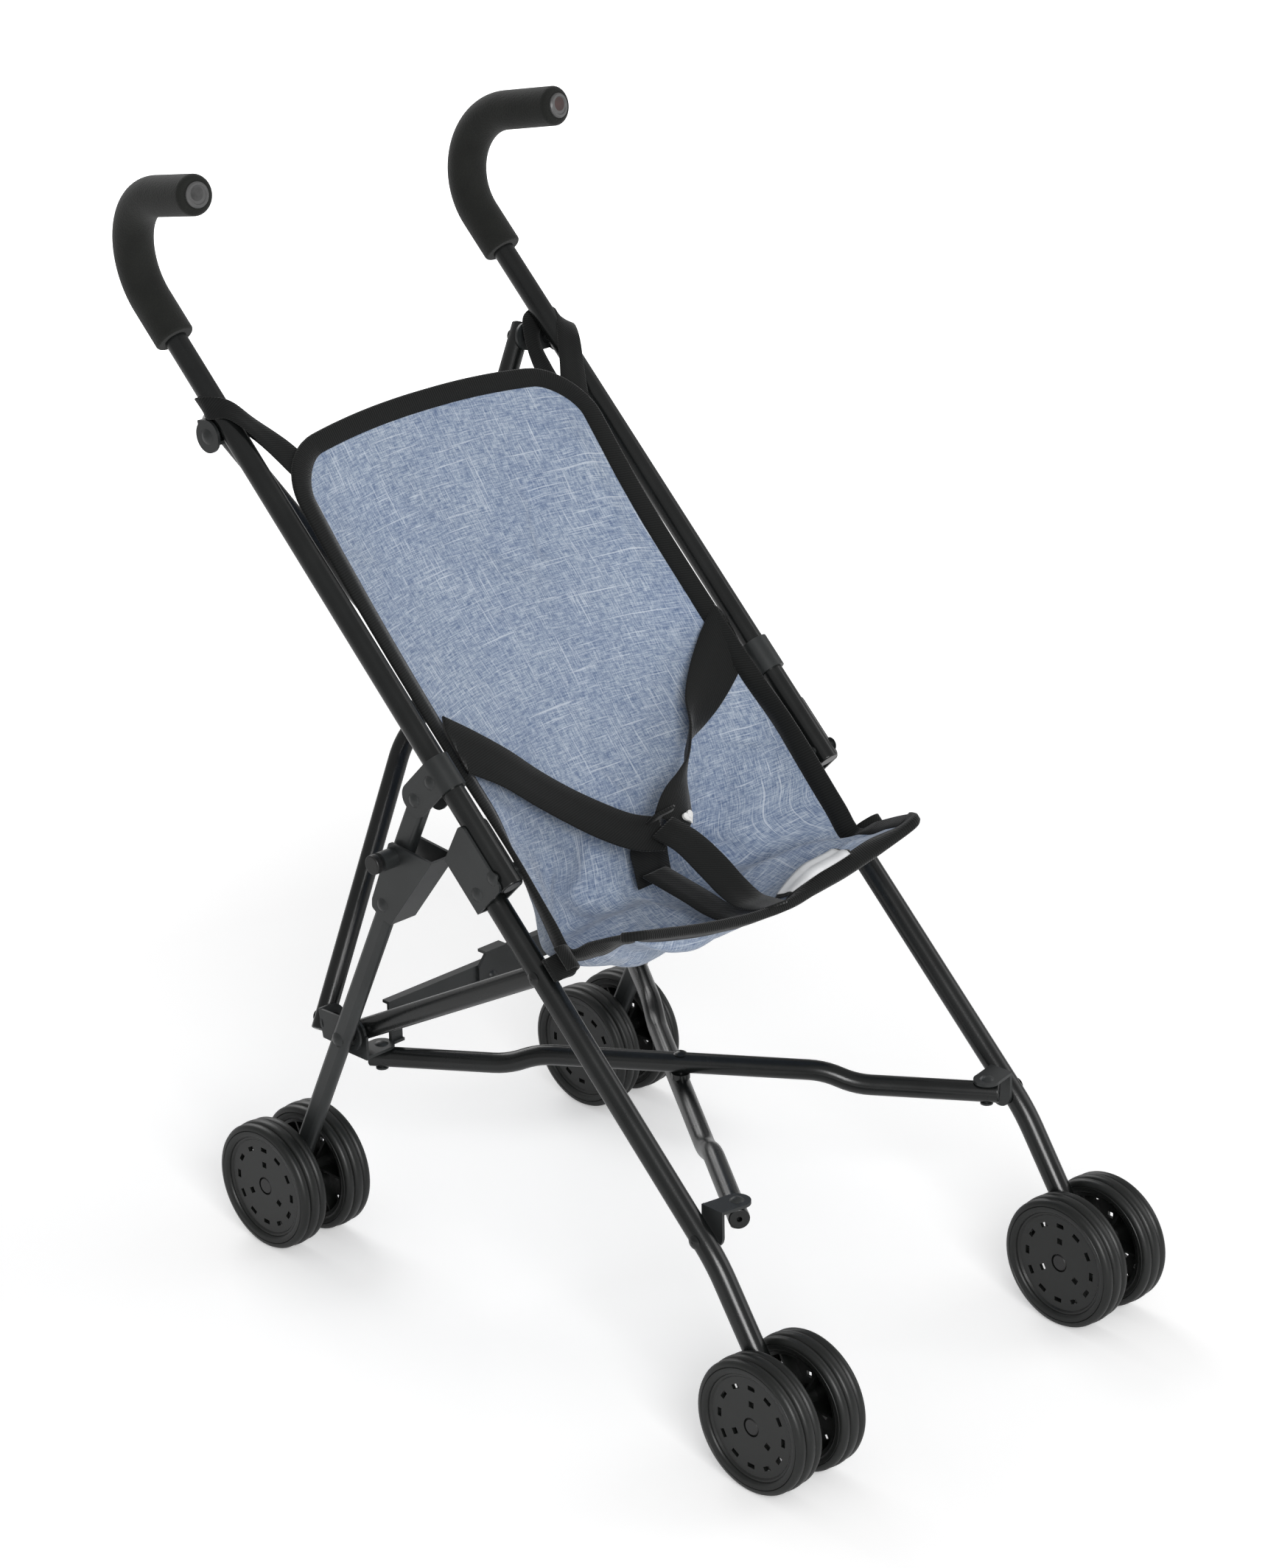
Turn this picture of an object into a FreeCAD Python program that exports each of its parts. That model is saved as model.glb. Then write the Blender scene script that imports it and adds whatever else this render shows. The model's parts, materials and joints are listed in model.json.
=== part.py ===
"""Doll stroller: an umbrella-folding toy pushchair, built as a parametric document.

Axes: X is the stroller's own left, Y points to the rear, Z is up.  The origin is
the middle of the footprint on the floor.  Every side piece is drawn in a frame
whose X runs along the piece, whose Y is square to it in the side plane and whose
Z is world X; `hand` is -1 for the right-hand side and +1 for the left.
"""
import FreeCAD, Part
import math
import os
import Sketcher

SIZES = {
    # Wheels and axles
    "wheel_radius": 32.7, "tyre_width": 15.4, "wheel_spacing": 28.4,
    "rim_radius": 25.6, "rim_wall": 1.6, "rim_depth": 12.4, "face_thickness": 1.8,
    "hub_radius": 6.0, "hub_reach": 8.2, "axle_radius": 2.5, "axle_head_radius": 4.0,
    "axle_head_height": 1.0, "slot_ring_radius": 19.6, "slot_long": 4.2, "slot_wide": 2.2,
    "window_ring_radius": 11.5, "window_wide": 3.0, "wheel_rib_wide": 1.2,
    "slot_count": 12, "window_count": 3, "rib_count": 6,
    # Side planes
    "front_leg_x": 105.0, "rear_leg_x": 108.0, "strut_x": 93.0, "link_x": 106.8,
    "side_angle": 43.3, "knee_y": 175.1, "knee_z": 240.8,
    # Round tubes
    "tube_radius": 5.5, "tube_wall": 1.2, "strut_radius": 5.25, "cross_radius": 5.0,
    "plug_depth": 1.6, "end_round": 0.8, "running_gap": 0.3, "fit_gap": 0.05,
    "pin_radius": 2.0, "small_pin_radius": 1.75, "lug_pin_radius": 1.6,
    "head_radius": 3.5, "head_height": 1.5, "sheet_steel": 1.5,
    # Handle
    "handle_tail": 7.3, "crook_start": 323.5, "crook_radius": 32.0, "crook_turn": 124.0,
    "crook_end": 33.5, "crook_toe": 6.5, "grip_start": 301.0, "grip_radius": 9.75,
    "grip_lip_round": 1.5, "grip_nose_round": 3.0, "grip_stub": 1.2,
    "cap_radius": 6.1, "cap_height": 1.4, "cap_dish": 0.5,
    "upper_pivot_reach": 252.5, "upper_pivot_drop": 8.5, "lug_radius": 3.2,
    "lug_inner": 0.7, "lug_outer": 5.7,
    # Handle clamp
    "clamp_reach": 53.9, "clamp_width": 17.0, "clamp_drop": 19.2, "ear_radius": 7.0,
    # Front leg and knee bracket
    "leg_offset": 15.5, "leg_top": 24.0, "strut_pivot_reach": 46.8,
    "front_pivot_reach": 187.2, "leg_bend_reach": 199.7, "leg_bend_turn": 12.7,
    "leg_bend_radius": 90.0, "foot_margin": 6.5,
    "knee_low": 7.0, "knee_high": 30.0, "knee_slant": 7.0, "knee_front": 1.0,
    # Rear leg, link and lock
    "rear_pivot_y": 289.0, "rear_pivot_z": 120.5, "rear_leg_angle": 114.5,
    "rear_leg_upper": 91.9, "oval_half": 5.3, "oval_flat": 2.54,
    "oval_thick": 3.5, "oval_arc": 3.6, "link_half_thick": 3.25,
    "knob_y": 242.5, "knob_z": 231.0, "knob_radius": 4.75, "knob_face": 126.2,
    "knob_head": 3.0, "knob_travel": 1.5, "stem_radius": 2.5,
    "channel_outer": 113.1, "channel_inner": 97.5,
    # Rear cross
    "upper_cross_y": 375.6, "upper_cross_z": 408.0, "lower_cross_y": 315.0,
    "lower_cross_z": 119.0, "cross_x": 97.0, "cross_joggle": 5.3, "cross_joggle_long": 24.0,
    "cross_joggle_from": 20.0, "cross_tail": 6.5, "ear_gap": 0.3, "cross_ear_radius": 7.5,
    "bracket_plate_x": 111.2, "ear_plate_x": 102.9, "ear_plate_thick": 1.2, "open_hole": 5.2,
    # Lower cross
    "lower_front_y": 47.1, "lower_front_z": 107.1, "lower_rear_y": 287.5,
    "lower_rear_z": 103.0, "lower_x": 85.0, "lower_joggle": 6.1, "lower_joggle_long": 30.0,
    "lower_joggle_from": 62.0, "lower_tail": 6.0, "front_plate_x": 97.1,
    "lower_ear_radius": 6.5, "knuckle_plate_x": 99.0,
    # Lock brace
    "brace_pivot_x": 76.0, "brace_pivot_z": 124.0, "brace_low": 119.0, "brace_high": 132.0,
    "brace_right_y": 284.0, "brace_left_y": 289.3, "brace_flange": 4.6, "brace_lap": 9.0,
    # Soft parts
    "sling_thick": 2.4, "sling_belly": 2.4,
    "belt_thick": 1.6, "belt_height": 5.2, "belt_half": 95.0, "strap_half": 11.0,
}

DOC = FreeCAD.newDocument("DollStroller")
SHEET = DOC.addObject("Spreadsheet::Sheet", "Sizes")
for row, (alias, number) in enumerate(SIZES.items(), start=1):
    SHEET.set("A%d" % row, alias.replace("_", " "))
    SHEET.set("B%d" % row, str(number))
    SHEET.setAlias("B%d" % row, alias)
DOC.recompute()


class Size:
    """A dimension that knows its value and the sheet expression behind it."""

    def __init__(self, value, text):
        self.value = float(value)
        self.text = text

    @staticmethod
    def of(number):
        return number if isinstance(number, Size) else Size(number, repr(float(number)))

    def _with(self, other, sign, value):
        return Size(value, "(%s %s %s)" % (self.text, sign, other.text))

    def __add__(self, other):
        other = Size.of(other)
        return self._with(other, "+", self.value + other.value)

    def __sub__(self, other):
        other = Size.of(other)
        return self._with(other, "-", self.value - other.value)

    def __mul__(self, other):
        other = Size.of(other)
        return self._with(other, "*", self.value * other.value)

    def __truediv__(self, other):
        other = Size.of(other)
        return self._with(other, "/", self.value / other.value)

    def __radd__(self, other):
        return Size.of(other) + self

    def __rsub__(self, other):
        return Size.of(other) - self

    def __rmul__(self, other):
        return Size.of(other) * self

    def __neg__(self):
        return Size(-self.value, "(0 - %s)" % self.text)


class Sizes:
    """Reads a named cell of the sheet as a Size."""

    def __getattr__(self, alias):
        return Size(SHEET.get(alias), "Sizes.%s" % alias)


S = Sizes()


def rooted(square):
    """Square root of a size."""
    return Size(math.sqrt(square.value), "sqrt(%s)" % square.text)


def sine(angle):
    """Sine of an angle in degrees."""
    return Size(math.sin(math.radians(angle.value)), "sin(%s * 1 deg)" % angle.text)


def cosine(angle):
    """Cosine of an angle in degrees."""
    return Size(math.cos(math.radians(angle.value)), "cos(%s * 1 deg)" % angle.text)


def bind(thing, name, number):
    """Sets a property from a number, or binds it to the sheet."""
    number = Size.of(number)
    if name.startswith("Constraints") or "." in name:
        thing.setExpression(name, number.text)
    else:
        setattr(thing, name, number.value)
        if "Sizes." in number.text:
            thing.setExpression(name, number.text)


def polar(angle, reach):
    """The (y, z) step of `reach` along `angle` above the rearward axis."""
    turn = math.radians(angle)
    return (reach * math.cos(turn), reach * math.sin(turn))


def step(point, angle, along, across=0.0):
    """Moves a (y, z) point along a direction and square to it."""
    ahead, aside = polar(angle, along), polar(angle + 90.0, across)
    return (point[0] + ahead[0] + aside[0], point[1] + ahead[1] + aside[1])


def heading(start, end):
    """Angle of the line between two (y, z) points, in degrees."""
    return math.degrees(math.atan2(end[1] - start[1], end[0] - start[0]))


def distance(start, end):
    """Length between two (y, z) points."""
    return math.hypot(end[0] - start[0], end[1] - start[1])


def place(across, point):
    """World position of a side point given behind the front axle and above the floor."""
    return FreeCAD.Vector(across, point[0] - footprint_middle().value, point[1])


def front_foot():
    """Length from the front leg's bend to its axle, so that the wheel stands on the floor."""
    rise = S.side_angle
    bend = S.knee_z - S.leg_offset * cosine(rise) - S.leg_bend_reach * sine(rise)
    return (bend - S.wheel_radius) / sine(rise + S.leg_bend_turn)


def rear_foot():
    """Length from the rear pivot down the leg to its axle."""
    return (S.rear_pivot_z - S.wheel_radius) / sine(S.rear_leg_angle)


def footprint_middle():
    """How far the middle of the whole stroller lies behind the front axle."""
    rise, toe = S.side_angle, S.crook_toe
    slope, square = cosine(rise), sine(rise) * cosine(toe)
    reach = rooted(slope * slope + square * square) - square
    rear = (S.knee_y + S.crook_start * slope + S.crook_radius * reach + S.grip_radius)
    return (rear - S.wheel_radius) * 0.5


def frame(across, point, angle):
    """Placement in a side plane: X along `angle`, Z along world X."""
    ahead, aside = polar(angle, 1.0), polar(angle + 90.0, 1.0)
    turn = FreeCAD.Rotation(FreeCAD.Vector(0, ahead[0], ahead[1]),
                            FreeCAD.Vector(0, aside[0], aside[1]),
                            FreeCAD.Vector(1, 0, 0), "ZXY")
    return FreeCAD.Placement(place(across, point), turn)


ROLES = {"XY": ("XY_Plane", 1.0), "YZ": ("YZ_Plane", 1.0), "XZ": ("XZ_Plane", -1.0)}


class Piece:
    """One separate piece of the stroller: a body with its sketches and features."""

    def __init__(self, label, placement):
        self.body = DOC.addObject("PartDesign::Body", label)
        self.body.Label = label
        self.body.Placement = placement
        self.count = 0
        PIECES.append(self)

    def name(self, kind):
        self.count += 1
        return "%s_%s%d" % (self.body.Name, kind, self.count)

    def origin(self, role):
        return [o for o in self.body.Origin.OriginFeatures if o.Role == role][0]

    def sketch(self, outlines, plane="XY", level=0.0, turn=0.0, shut=True):
        """Draws outlines on a plane of the body, `level` along its axis."""
        role, sign = ROLES[plane]
        sketch = self.body.newObject("Sketcher::SketchObject", self.name("sketch"))
        sketch.AttachmentSupport = [(self.origin(role), "")]
        sketch.MapMode = "FlatFace"
        if turn:
            sketch.AttachmentOffset = FreeCAD.Placement(
                FreeCAD.Vector(0, 0, 0), FreeCAD.Rotation(FreeCAD.Vector(1, 0, 0), turn))
        level = Size.of(level) * sign
        if level.value:
            bind(sketch, "AttachmentOffset.Base.z", level)
        for outline in outlines:
            if isinstance(outline, Ring):
                outline.draw(sketch)
            else:
                draw_path(sketch, outline, shut)
        return sketch

    def pad(self, outlines, low, high, plane="XY", cut=False):
        """Adds (or cuts) outlines between two levels along the plane's axis."""
        low, high = Size.of(low), Size.of(high)
        if low.value > high.value:
            low, high = high, low
        sketch = self.sketch(outlines, plane, (low + high) * 0.5)
        kind = "PartDesign::Pocket" if cut else "PartDesign::Pad"
        feature = self.body.newObject(kind, self.name("cut" if cut else "pad"))
        feature.Profile = sketch
        feature.SideType = "Symmetric"
        bind(feature, "Length", high - low)
        return feature

    def cut(self, outlines, low, high, plane="XY"):
        """Cuts outlines between two levels and checks that material went."""
        DOC.recompute()
        before = self.body.Shape.Volume
        feature = self.pad(outlines, low, high, plane, cut=True)
        DOC.recompute()
        if not self.body.Shape.Volume < before - 1e-6:
            raise RuntimeError("%s cuts nothing" % feature.Name)
        return feature

    def revolve(self, outline):
        """Turns an outline of (axial, radial) points about the body's X axis."""
        sketch = self.sketch([outline])
        feature = self.body.newObject("PartDesign::Revolution", self.name("turned"))
        feature.Profile = sketch
        feature.ReferenceAxis = (sketch, ["H_Axis"])
        feature.Angle = 360.0
        return feature

    def pipe(self, path, rings, plane="XY", turn=0.0):
        """Sweeps rings along a path that starts along X."""
        spine = self.sketch([path], plane, turn=turn, shut=False)
        profile = self.sketch(rings, "YZ", path[0][0])
        feature = self.body.newObject("PartDesign::AdditivePipe", self.name("pipe"))
        feature.Profile = profile
        feature.Spine = (spine, [])
        return feature

    def loft(self, sections):
        """Joins (outline, level) sections with straight faces."""
        sketches = [self.sketch([outline], level=level) for outline, level in sections]
        feature = self.body.newObject("PartDesign::AdditiveLoft", self.name("loft"))
        feature.Profile = sketches[0]
        feature.Sections = sketches[1:]
        feature.Ruled = True
        return feature

    def dome(self, one, two, face, way, plane="XY", radius=None, height=None):
        """Adds a domed rivet head on a face, rising to the `way` side of it."""
        radius = radius or S.head_radius
        height = height or S.head_height
        role, sign = ROLES[plane]
        ball = (radius * radius + height * height) / (height * 2.0)
        sunk = ball - height
        feature = self.body.newObject("PartDesign::AdditiveSphere", self.name("dome"))
        feature.AttachmentSupport = [(self.origin(role), "")]
        feature.MapMode = "FlatFace"
        upright = way * sign > 0
        turn = FreeCAD.Rotation(FreeCAD.Vector(1, 0, 0), 0.0 if upright else 180.0)
        feature.AttachmentOffset = FreeCAD.Placement(FreeCAD.Vector(0, 0, 0), turn)
        bind(feature, "AttachmentOffset.Base.x", one)
        bind(feature, "AttachmentOffset.Base.y", two)
        bind(feature, "AttachmentOffset.Base.z", (Size.of(face) - sunk * way) * sign)
        bind(feature, "Radius", ball)
        feature.setExpression("Angle1", "asin(%s / %s)" % (sunk.text, ball.text))
        return feature

    def pattern(self, feature, count):
        """Repeats a feature evenly about the body's X axis."""
        ring = self.body.newObject("PartDesign::PolarPattern", self.name("pattern"))
        ring.Originals = [feature]
        ring.Axis = (self.origin("X_Axis"), [""])
        ring.Angle = 360.0
        ring.Occurrences = int(count.value)
        ring.setExpression("Occurrences", count.text)
        self.body.Tip = ring
        return ring

    def round(self, pick, radius, kind="PartDesign::Fillet"):
        """Rounds every edge of the body that `pick` accepts."""
        DOC.recompute()
        tip = self.body.Tip
        names = ["Edge%d" % (i + 1) for i, edge in enumerate(tip.Shape.Edges) if pick(edge)]
        if not names:
            raise RuntimeError("%s has no edge to round" % self.body.Label)
        feature = self.body.newObject(kind, self.name("round"))
        feature.Base = (tip, names)
        bind(feature, "Radius" if kind.endswith("Fillet") else "Size", radius)
        return feature


class Ring:
    """A circle of a sketch."""

    def __init__(self, one, two, radius):
        self.one, self.two, self.radius = Size.of(one), Size.of(two), Size.of(radius)

    def draw(self, sketch):
        centre = FreeCAD.Vector(self.one.value, self.two.value, 0)
        circle = Part.Circle(centre, FreeCAD.Vector(0, 0, 1), self.radius.value)
        index = sketch.addGeometry(circle, False)
        pin_point(sketch, index, 3, self.one, self.two)
        spot = sketch.addConstraint(Sketcher.Constraint("Radius", index, self.radius.value))
        tie(sketch, spot, self.radius)


def tie(sketch, spot, number):
    """Binds a constraint to the sheet where its size comes from the sheet."""
    if "Sizes." in number.text:
        sketch.setExpression("Constraints[%d]" % spot, number.text)


def pin_point(sketch, index, end, one, two):
    """Dimensions a point of a sketch from the sketch's origin."""
    for kind, number in (("DistanceX", one), ("DistanceY", two)):
        spot = sketch.addConstraint(
            Sketcher.Constraint(kind, -1, 1, index, end, number.value))
        tie(sketch, spot, number)


def arc_between(start, end, radius, left):
    """The short arc from start to end that turns left or right."""
    half = (end - start) * 0.5
    rise = math.sqrt(max(radius * radius - half.Length ** 2, 0.0))
    square = FreeCAD.Vector(-half.y, half.x, 0).normalize()
    centre = start + half + square * (rise if left else -rise)
    circle = Part.Circle(centre, FreeCAD.Vector(0, 0, 1), radius)
    first = math.atan2(start.y - centre.y, start.x - centre.x)
    last = math.atan2(end.y - centre.y, end.x - centre.x)
    return Part.ArcOfCircle(circle, first, last) if left else \
        Part.ArcOfCircle(circle, last, first)


def draw_path(sketch, nodes, shut=True):
    """Draws straight and arc segments through nodes of (x, y[, radius, turn])."""
    nodes = [tuple(Size.of(v) for v in node[:3]) + tuple(node[3:]) for node in nodes]
    total = len(nodes) if shut else len(nodes) - 1
    made = []
    for index in range(total):
        node, after = nodes[index], nodes[(index + 1) % len(nodes)]
        start = FreeCAD.Vector(node[0].value, node[1].value, 0)
        end = FreeCAD.Vector(after[0].value, after[1].value, 0)
        if len(node) > 2:
            left = node[3] == "left"
            geometry = sketch.addGeometry(arc_between(start, end, node[2].value, left), False)
            made.append((geometry, 1 if left else 2, 2 if left else 1))
            spot = sketch.addConstraint(
                Sketcher.Constraint("Radius", geometry, node[2].value))
            tie(sketch, spot, node[2])
        else:
            geometry = sketch.addGeometry(Part.LineSegment(start, end), False)
            made.append((geometry, 1, 2))
    for index, (geometry, first, last) in enumerate(made):
        pin_point(sketch, geometry, first, nodes[index][0], nodes[index][1])
        if index + 1 < len(made) or shut:
            follow = made[(index + 1) % len(made)]
            sketch.addConstraint(
                Sketcher.Constraint("Coincident", geometry, last, follow[0], follow[1]))
    if not shut:
        geometry, first, last = made[-1]
        pin_point(sketch, geometry, last, nodes[-1][0], nodes[-1][1])


def box(low_one, low_two, high_one, high_two):
    """A rectangle's outline."""
    return [(low_one, low_two), (high_one, low_two), (high_one, high_two), (low_one, high_two)]


def tube_rings(radius, wall=None):
    """Outer and inner rings of a tube."""
    wall = wall or S.tube_wall
    return [Ring(0, 0, radius), Ring(0, 0, radius - wall)]


def end_circle(reach, radius):
    """Picks the outer end edge of a tube drawn along X."""
    def test(edge):
        curve = edge.Curve
        return (isinstance(curve, Part.Circle) and abs(curve.Radius - radius) < 1e-4
                and abs(curve.Center.x - reach) < 1e-4)
    return test


PIECES = []
SIDES = (("right", -1), ("left", 1))

KNEE = (S.knee_y.value, S.knee_z.value)
ANGLE = S.side_angle.value
LEG_TOP = step(KNEE, ANGLE, 0.0, -S.leg_offset.value)
STRUT_TOP = step(LEG_TOP, ANGLE, -S.strut_pivot_reach.value)
FRONT_PIVOT = step(LEG_TOP, ANGLE, -S.front_pivot_reach.value)
LEG_BEND = step(LEG_TOP, ANGLE, -S.leg_bend_reach.value)
FRONT_AXLE = step(LEG_BEND, ANGLE + 180.0 + S.leg_bend_turn.value, front_foot().value)
CLAMP_PIVOT = step(KNEE, ANGLE, S.clamp_reach.value, -S.clamp_drop.value)
UPPER_PIVOT = step(KNEE, ANGLE, S.upper_pivot_reach.value, -S.upper_pivot_drop.value)
REAR_PIVOT = (S.rear_pivot_y.value, S.rear_pivot_z.value)
LEG_ANGLE = S.rear_leg_angle.value
REAR_AXLE = step(REAR_PIVOT, LEG_ANGLE, -rear_foot().value)
REAR_TOP = step(REAR_PIVOT, LEG_ANGLE, S.rear_leg_upper.value)
KNOB = (S.knob_y.value, S.knob_z.value)
CROSS_TOP = (S.upper_cross_y.value, S.upper_cross_z.value)
CROSS_FOOT = (S.lower_cross_y.value, S.lower_cross_z.value)
CROSS_TILT = heading(CROSS_FOOT, CROSS_TOP) - 90.0
LOWER_FRONT = (S.lower_front_y.value, S.lower_front_z.value)
LOWER_REAR = (S.lower_rear_y.value, S.lower_rear_z.value)
LOWER_TILT = heading(LOWER_FRONT, LOWER_REAR)
SLING_SHARES = (-1.0, -0.8, -0.45, 0.0, 0.45, 0.8, 1.0)


def local(point, origin, angle):
    """A (y, z) point in a side frame's own X and Y."""
    turn = math.radians(angle)
    dy, dz = point[0] - origin[0], point[1] - origin[1]
    return (dy * math.cos(turn) + dz * math.sin(turn),
            -dy * math.sin(turn) + dz * math.cos(turn))


def crook_end():
    """Local X and Y of the handle's end along its own bent line."""
    turn = S.crook_turn
    along = S.crook_start + S.crook_radius * sine(turn) + S.crook_end * cosine(turn)
    aside = S.crook_radius * (1.0 - cosine(turn)) + S.crook_end * sine(turn)
    return along, aside


def crook_path(start, stop):
    """The bent line of the handle from `start`, ending `stop` past the tube's end."""
    turn = S.crook_turn
    along, aside = crook_end()
    return [(start, 0.0), (S.crook_start, 0.0, S.crook_radius, "left"),
            (S.crook_start + S.crook_radius * sine(turn),
             S.crook_radius * (1.0 - cosine(turn))),
            (along + stop * cosine(turn), aside + stop * sine(turn))]


def make_handle(side, hand):
    """The handle tube, its foam grip and its end cap."""
    here = frame(hand * S.front_leg_x.value, KNEE, ANGLE)
    toe = hand * S.crook_toe.value
    tube = Piece("handle_tube_" + side, here)
    straight = -S.handle_tail
    tube.pipe(crook_path(straight, Size.of(0)), tube_rings(S.tube_radius), turn=toe)
    tube.pad([Ring(0, 0, S.tube_radius - S.tube_wall * 0.5)],
             straight, straight + S.plug_depth, "YZ")
    tube.round(end_circle(straight.value, S.tube_radius.value), S.end_round)
    reach, drop = S.upper_pivot_reach, S.upper_pivot_drop
    lug = [(reach - 6.0, -(S.tube_radius - 1.0)), (reach + 6.0, -(S.tube_radius - 1.0)),
           (reach + S.lug_radius - 0.3, -drop - 0.8), (reach - S.lug_radius + 0.3, -drop - 0.8)]
    tube.pad([lug], hand * S.lug_inner, hand * S.lug_outer)
    tube.pad([Ring(reach, -drop, S.lug_radius)], hand * S.lug_inner, hand * S.lug_outer)
    tube.cut([Ring(reach, -drop, S.lug_pin_radius + S.fit_gap)],
             hand * (S.lug_inner - 0.5), hand * (S.lug_outer + 0.5))
    tube.cut([Ring(0, 0, S.pin_radius + S.fit_gap)], -S.tube_radius - 1.0, S.tube_radius + 1.0)

    grip = Piece("grip_" + side, here)
    grip.pipe(crook_path(S.grip_start, S.grip_stub),
              [Ring(0, 0, S.grip_radius), Ring(0, 0, S.tube_radius + S.fit_gap)], turn=toe)
    grip.round(end_circle(S.grip_start.value, S.grip_radius.value), S.grip_lip_round)
    along, aside = crook_end()
    turn = FreeCAD.Rotation(FreeCAD.Vector(1, 0, 0), toe)
    nose = turn.multVec(FreeCAD.Vector(along.value, aside.value, 0))
    away = FreeCAD.Rotation(FreeCAD.Vector(0, 0, 1), S.crook_turn.value)
    ahead = turn.multVec(away.multVec(FreeCAD.Vector(1, 0, 0)))
    stub = nose + ahead * S.grip_stub.value

    def nose_edge(edge):
        curve = edge.Curve
        return (isinstance(curve, Part.Circle) and
                abs(curve.Radius - S.grip_radius.value) < 1e-3 and
                (curve.Center - stub).Length < 1e-3)
    grip.round(nose_edge, S.grip_nose_round)

    spot = here.multiply(FreeCAD.Placement(stub, turn.multiply(away)))
    cap = Piece("grip_cap_" + side, spot)
    stem = S.tube_radius - S.tube_wall - S.fit_gap
    cap.revolve([(0.0, 0.0), (0.0 - S.grip_stub - 6.0, 0.0), (0.0 - S.grip_stub - 6.0, stem),
                 (S.fit_gap, stem), (S.fit_gap, S.cap_radius),
                 (S.cap_height * 0.55, S.cap_radius), (S.cap_height, S.cap_radius - 0.7),
                 (S.cap_height, S.cap_radius - 1.5),
                 (S.cap_height - S.cap_dish, S.cap_radius - 1.9),
                 (S.cap_height - S.cap_dish, 0.0)])


def make_clamp(side, hand):
    """The saddle round the handle that carries the short link."""
    piece = Piece("handle_clamp_" + side, frame(hand * S.front_leg_x.value, KNEE, ANGLE))
    inner = S.tube_radius + S.fit_gap
    outer = inner + S.sheet_steel
    tail = -(S.clamp_drop + S.ear_radius)
    section = [(tail, outer), (0.0, outer, outer, "right"), (outer, 0.0, outer, "right"),
               (0.0, -outer), (tail, -outer), (tail, -inner), (0.0, -inner, inner, "left"),
               (inner, 0.0, inner, "left"), (0.0, inner), (tail, inner)]
    low = S.clamp_reach - S.clamp_width * 0.5
    high = S.clamp_reach + S.clamp_width * 0.5
    piece.pad([section], low, high, "YZ")

    def ear_corner(edge):
        ends = [v.Point for v in edge.Vertexes]
        return (len(ends) == 2 and all(abs(p.y - tail.value) < 1e-4 for p in ends)
                and abs(ends[0].x - ends[1].x) < 1e-4)
    piece.round(ear_corner, S.ear_radius)
    reach, drop = S.clamp_reach, -S.clamp_drop
    piece.pad([Ring(reach, drop, S.pin_radius)], -outer, outer)
    piece.dome(reach, drop, hand * outer, hand)
    piece.dome(reach, drop, -hand * outer, -hand, height=S.head_height * 0.6)
    piece.dome(reach, -3.0, hand * outer, hand)


def make_front_leg(side, hand):
    """The front leg tube, bent to its foot, and the knee bracket riveted on it."""
    here = frame(hand * S.front_leg_x.value, LEG_TOP, ANGLE)
    leg = Piece("front_leg_" + side, here)
    bend, turn, foot = S.leg_bend_reach, S.leg_bend_turn, front_foot() + S.foot_margin
    tangent = S.leg_bend_radius * sine(turn) / (1.0 + cosine(turn))
    path = [(S.leg_top, 0.0), (tangent - bend, 0.0, S.leg_bend_radius, "left"),
            (-bend - tangent * cosine(turn), -(tangent * sine(turn))),
            (-bend - foot * cosine(turn), -(foot * sine(turn)))]
    leg.pipe(path, tube_rings(S.tube_radius))
    leg.pad([Ring(0, 0, S.tube_radius - S.tube_wall * 0.5)],
            S.leg_top - S.plug_depth, S.leg_top, "YZ")
    leg.round(end_circle(S.leg_top.value, S.tube_radius.value), S.end_round)
    reach = S.tube_radius + 1.0
    axle = (-bend - front_foot() * cosine(turn), -(front_foot() * sine(turn)))
    leg.cut([Ring(axle[0], axle[1], S.axle_radius + 0.02)], -reach, reach)
    leg.cut([Ring(0, 0, S.pin_radius + 0.02)], -reach, reach)
    leg.dome(-S.strut_pivot_reach, 0, hand * (S.tube_radius - 0.35), hand)
    leg.dome(-S.front_pivot_reach, 0, hand * (S.tube_radius - 0.35), hand)
    leg.pad([Ring(-S.strut_pivot_reach, 0, S.head_radius)], -hand * (S.tube_radius - 0.8),
            -hand * (S.tube_radius + 0.8))

    knee = Piece("knee_bracket_" + side, frame(hand * S.front_leg_x.value, KNEE, ANGLE))
    inner = S.tube_radius + S.running_gap
    outer = inner + S.sheet_steel
    rear = -(S.leg_offset + S.tube_radius + S.fit_gap)
    web = rear - S.sheet_steel
    side_plate = [(-S.knee_low, web), (S.knee_high - S.knee_slant, web),
                  (S.knee_high, S.knee_front), (-S.knee_low, S.knee_front)]
    for way in (1, -1):
        knee.pad([side_plate], way * inner, way * outer)
    knee.pad([box(-S.knee_low, web, S.knee_high - S.knee_slant, rear)], -outer, outer)

    def corner(edge):
        ends = [v.Point for v in edge.Vertexes]
        return (len(ends) == 2 and abs(ends[0].x - ends[1].x) < 1e-4 and
                abs(ends[0].y - ends[1].y) < 1e-4 and
                abs(ends[0].y - S.knee_front.value) < 1e-4)
    knee.round(corner, S.knee_low * 0.45)
    knee.pad([Ring(0, 0, S.pin_radius)], -outer, outer)
    knee.pad([Ring(0, -S.leg_offset, S.pin_radius)], -outer, outer)
    for drop in (Size.of(0), -S.leg_offset):
        knee.dome(0, drop, hand * outer, hand)
        knee.dome(0, drop, -hand * outer, -hand, height=S.head_height * 0.6)


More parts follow.
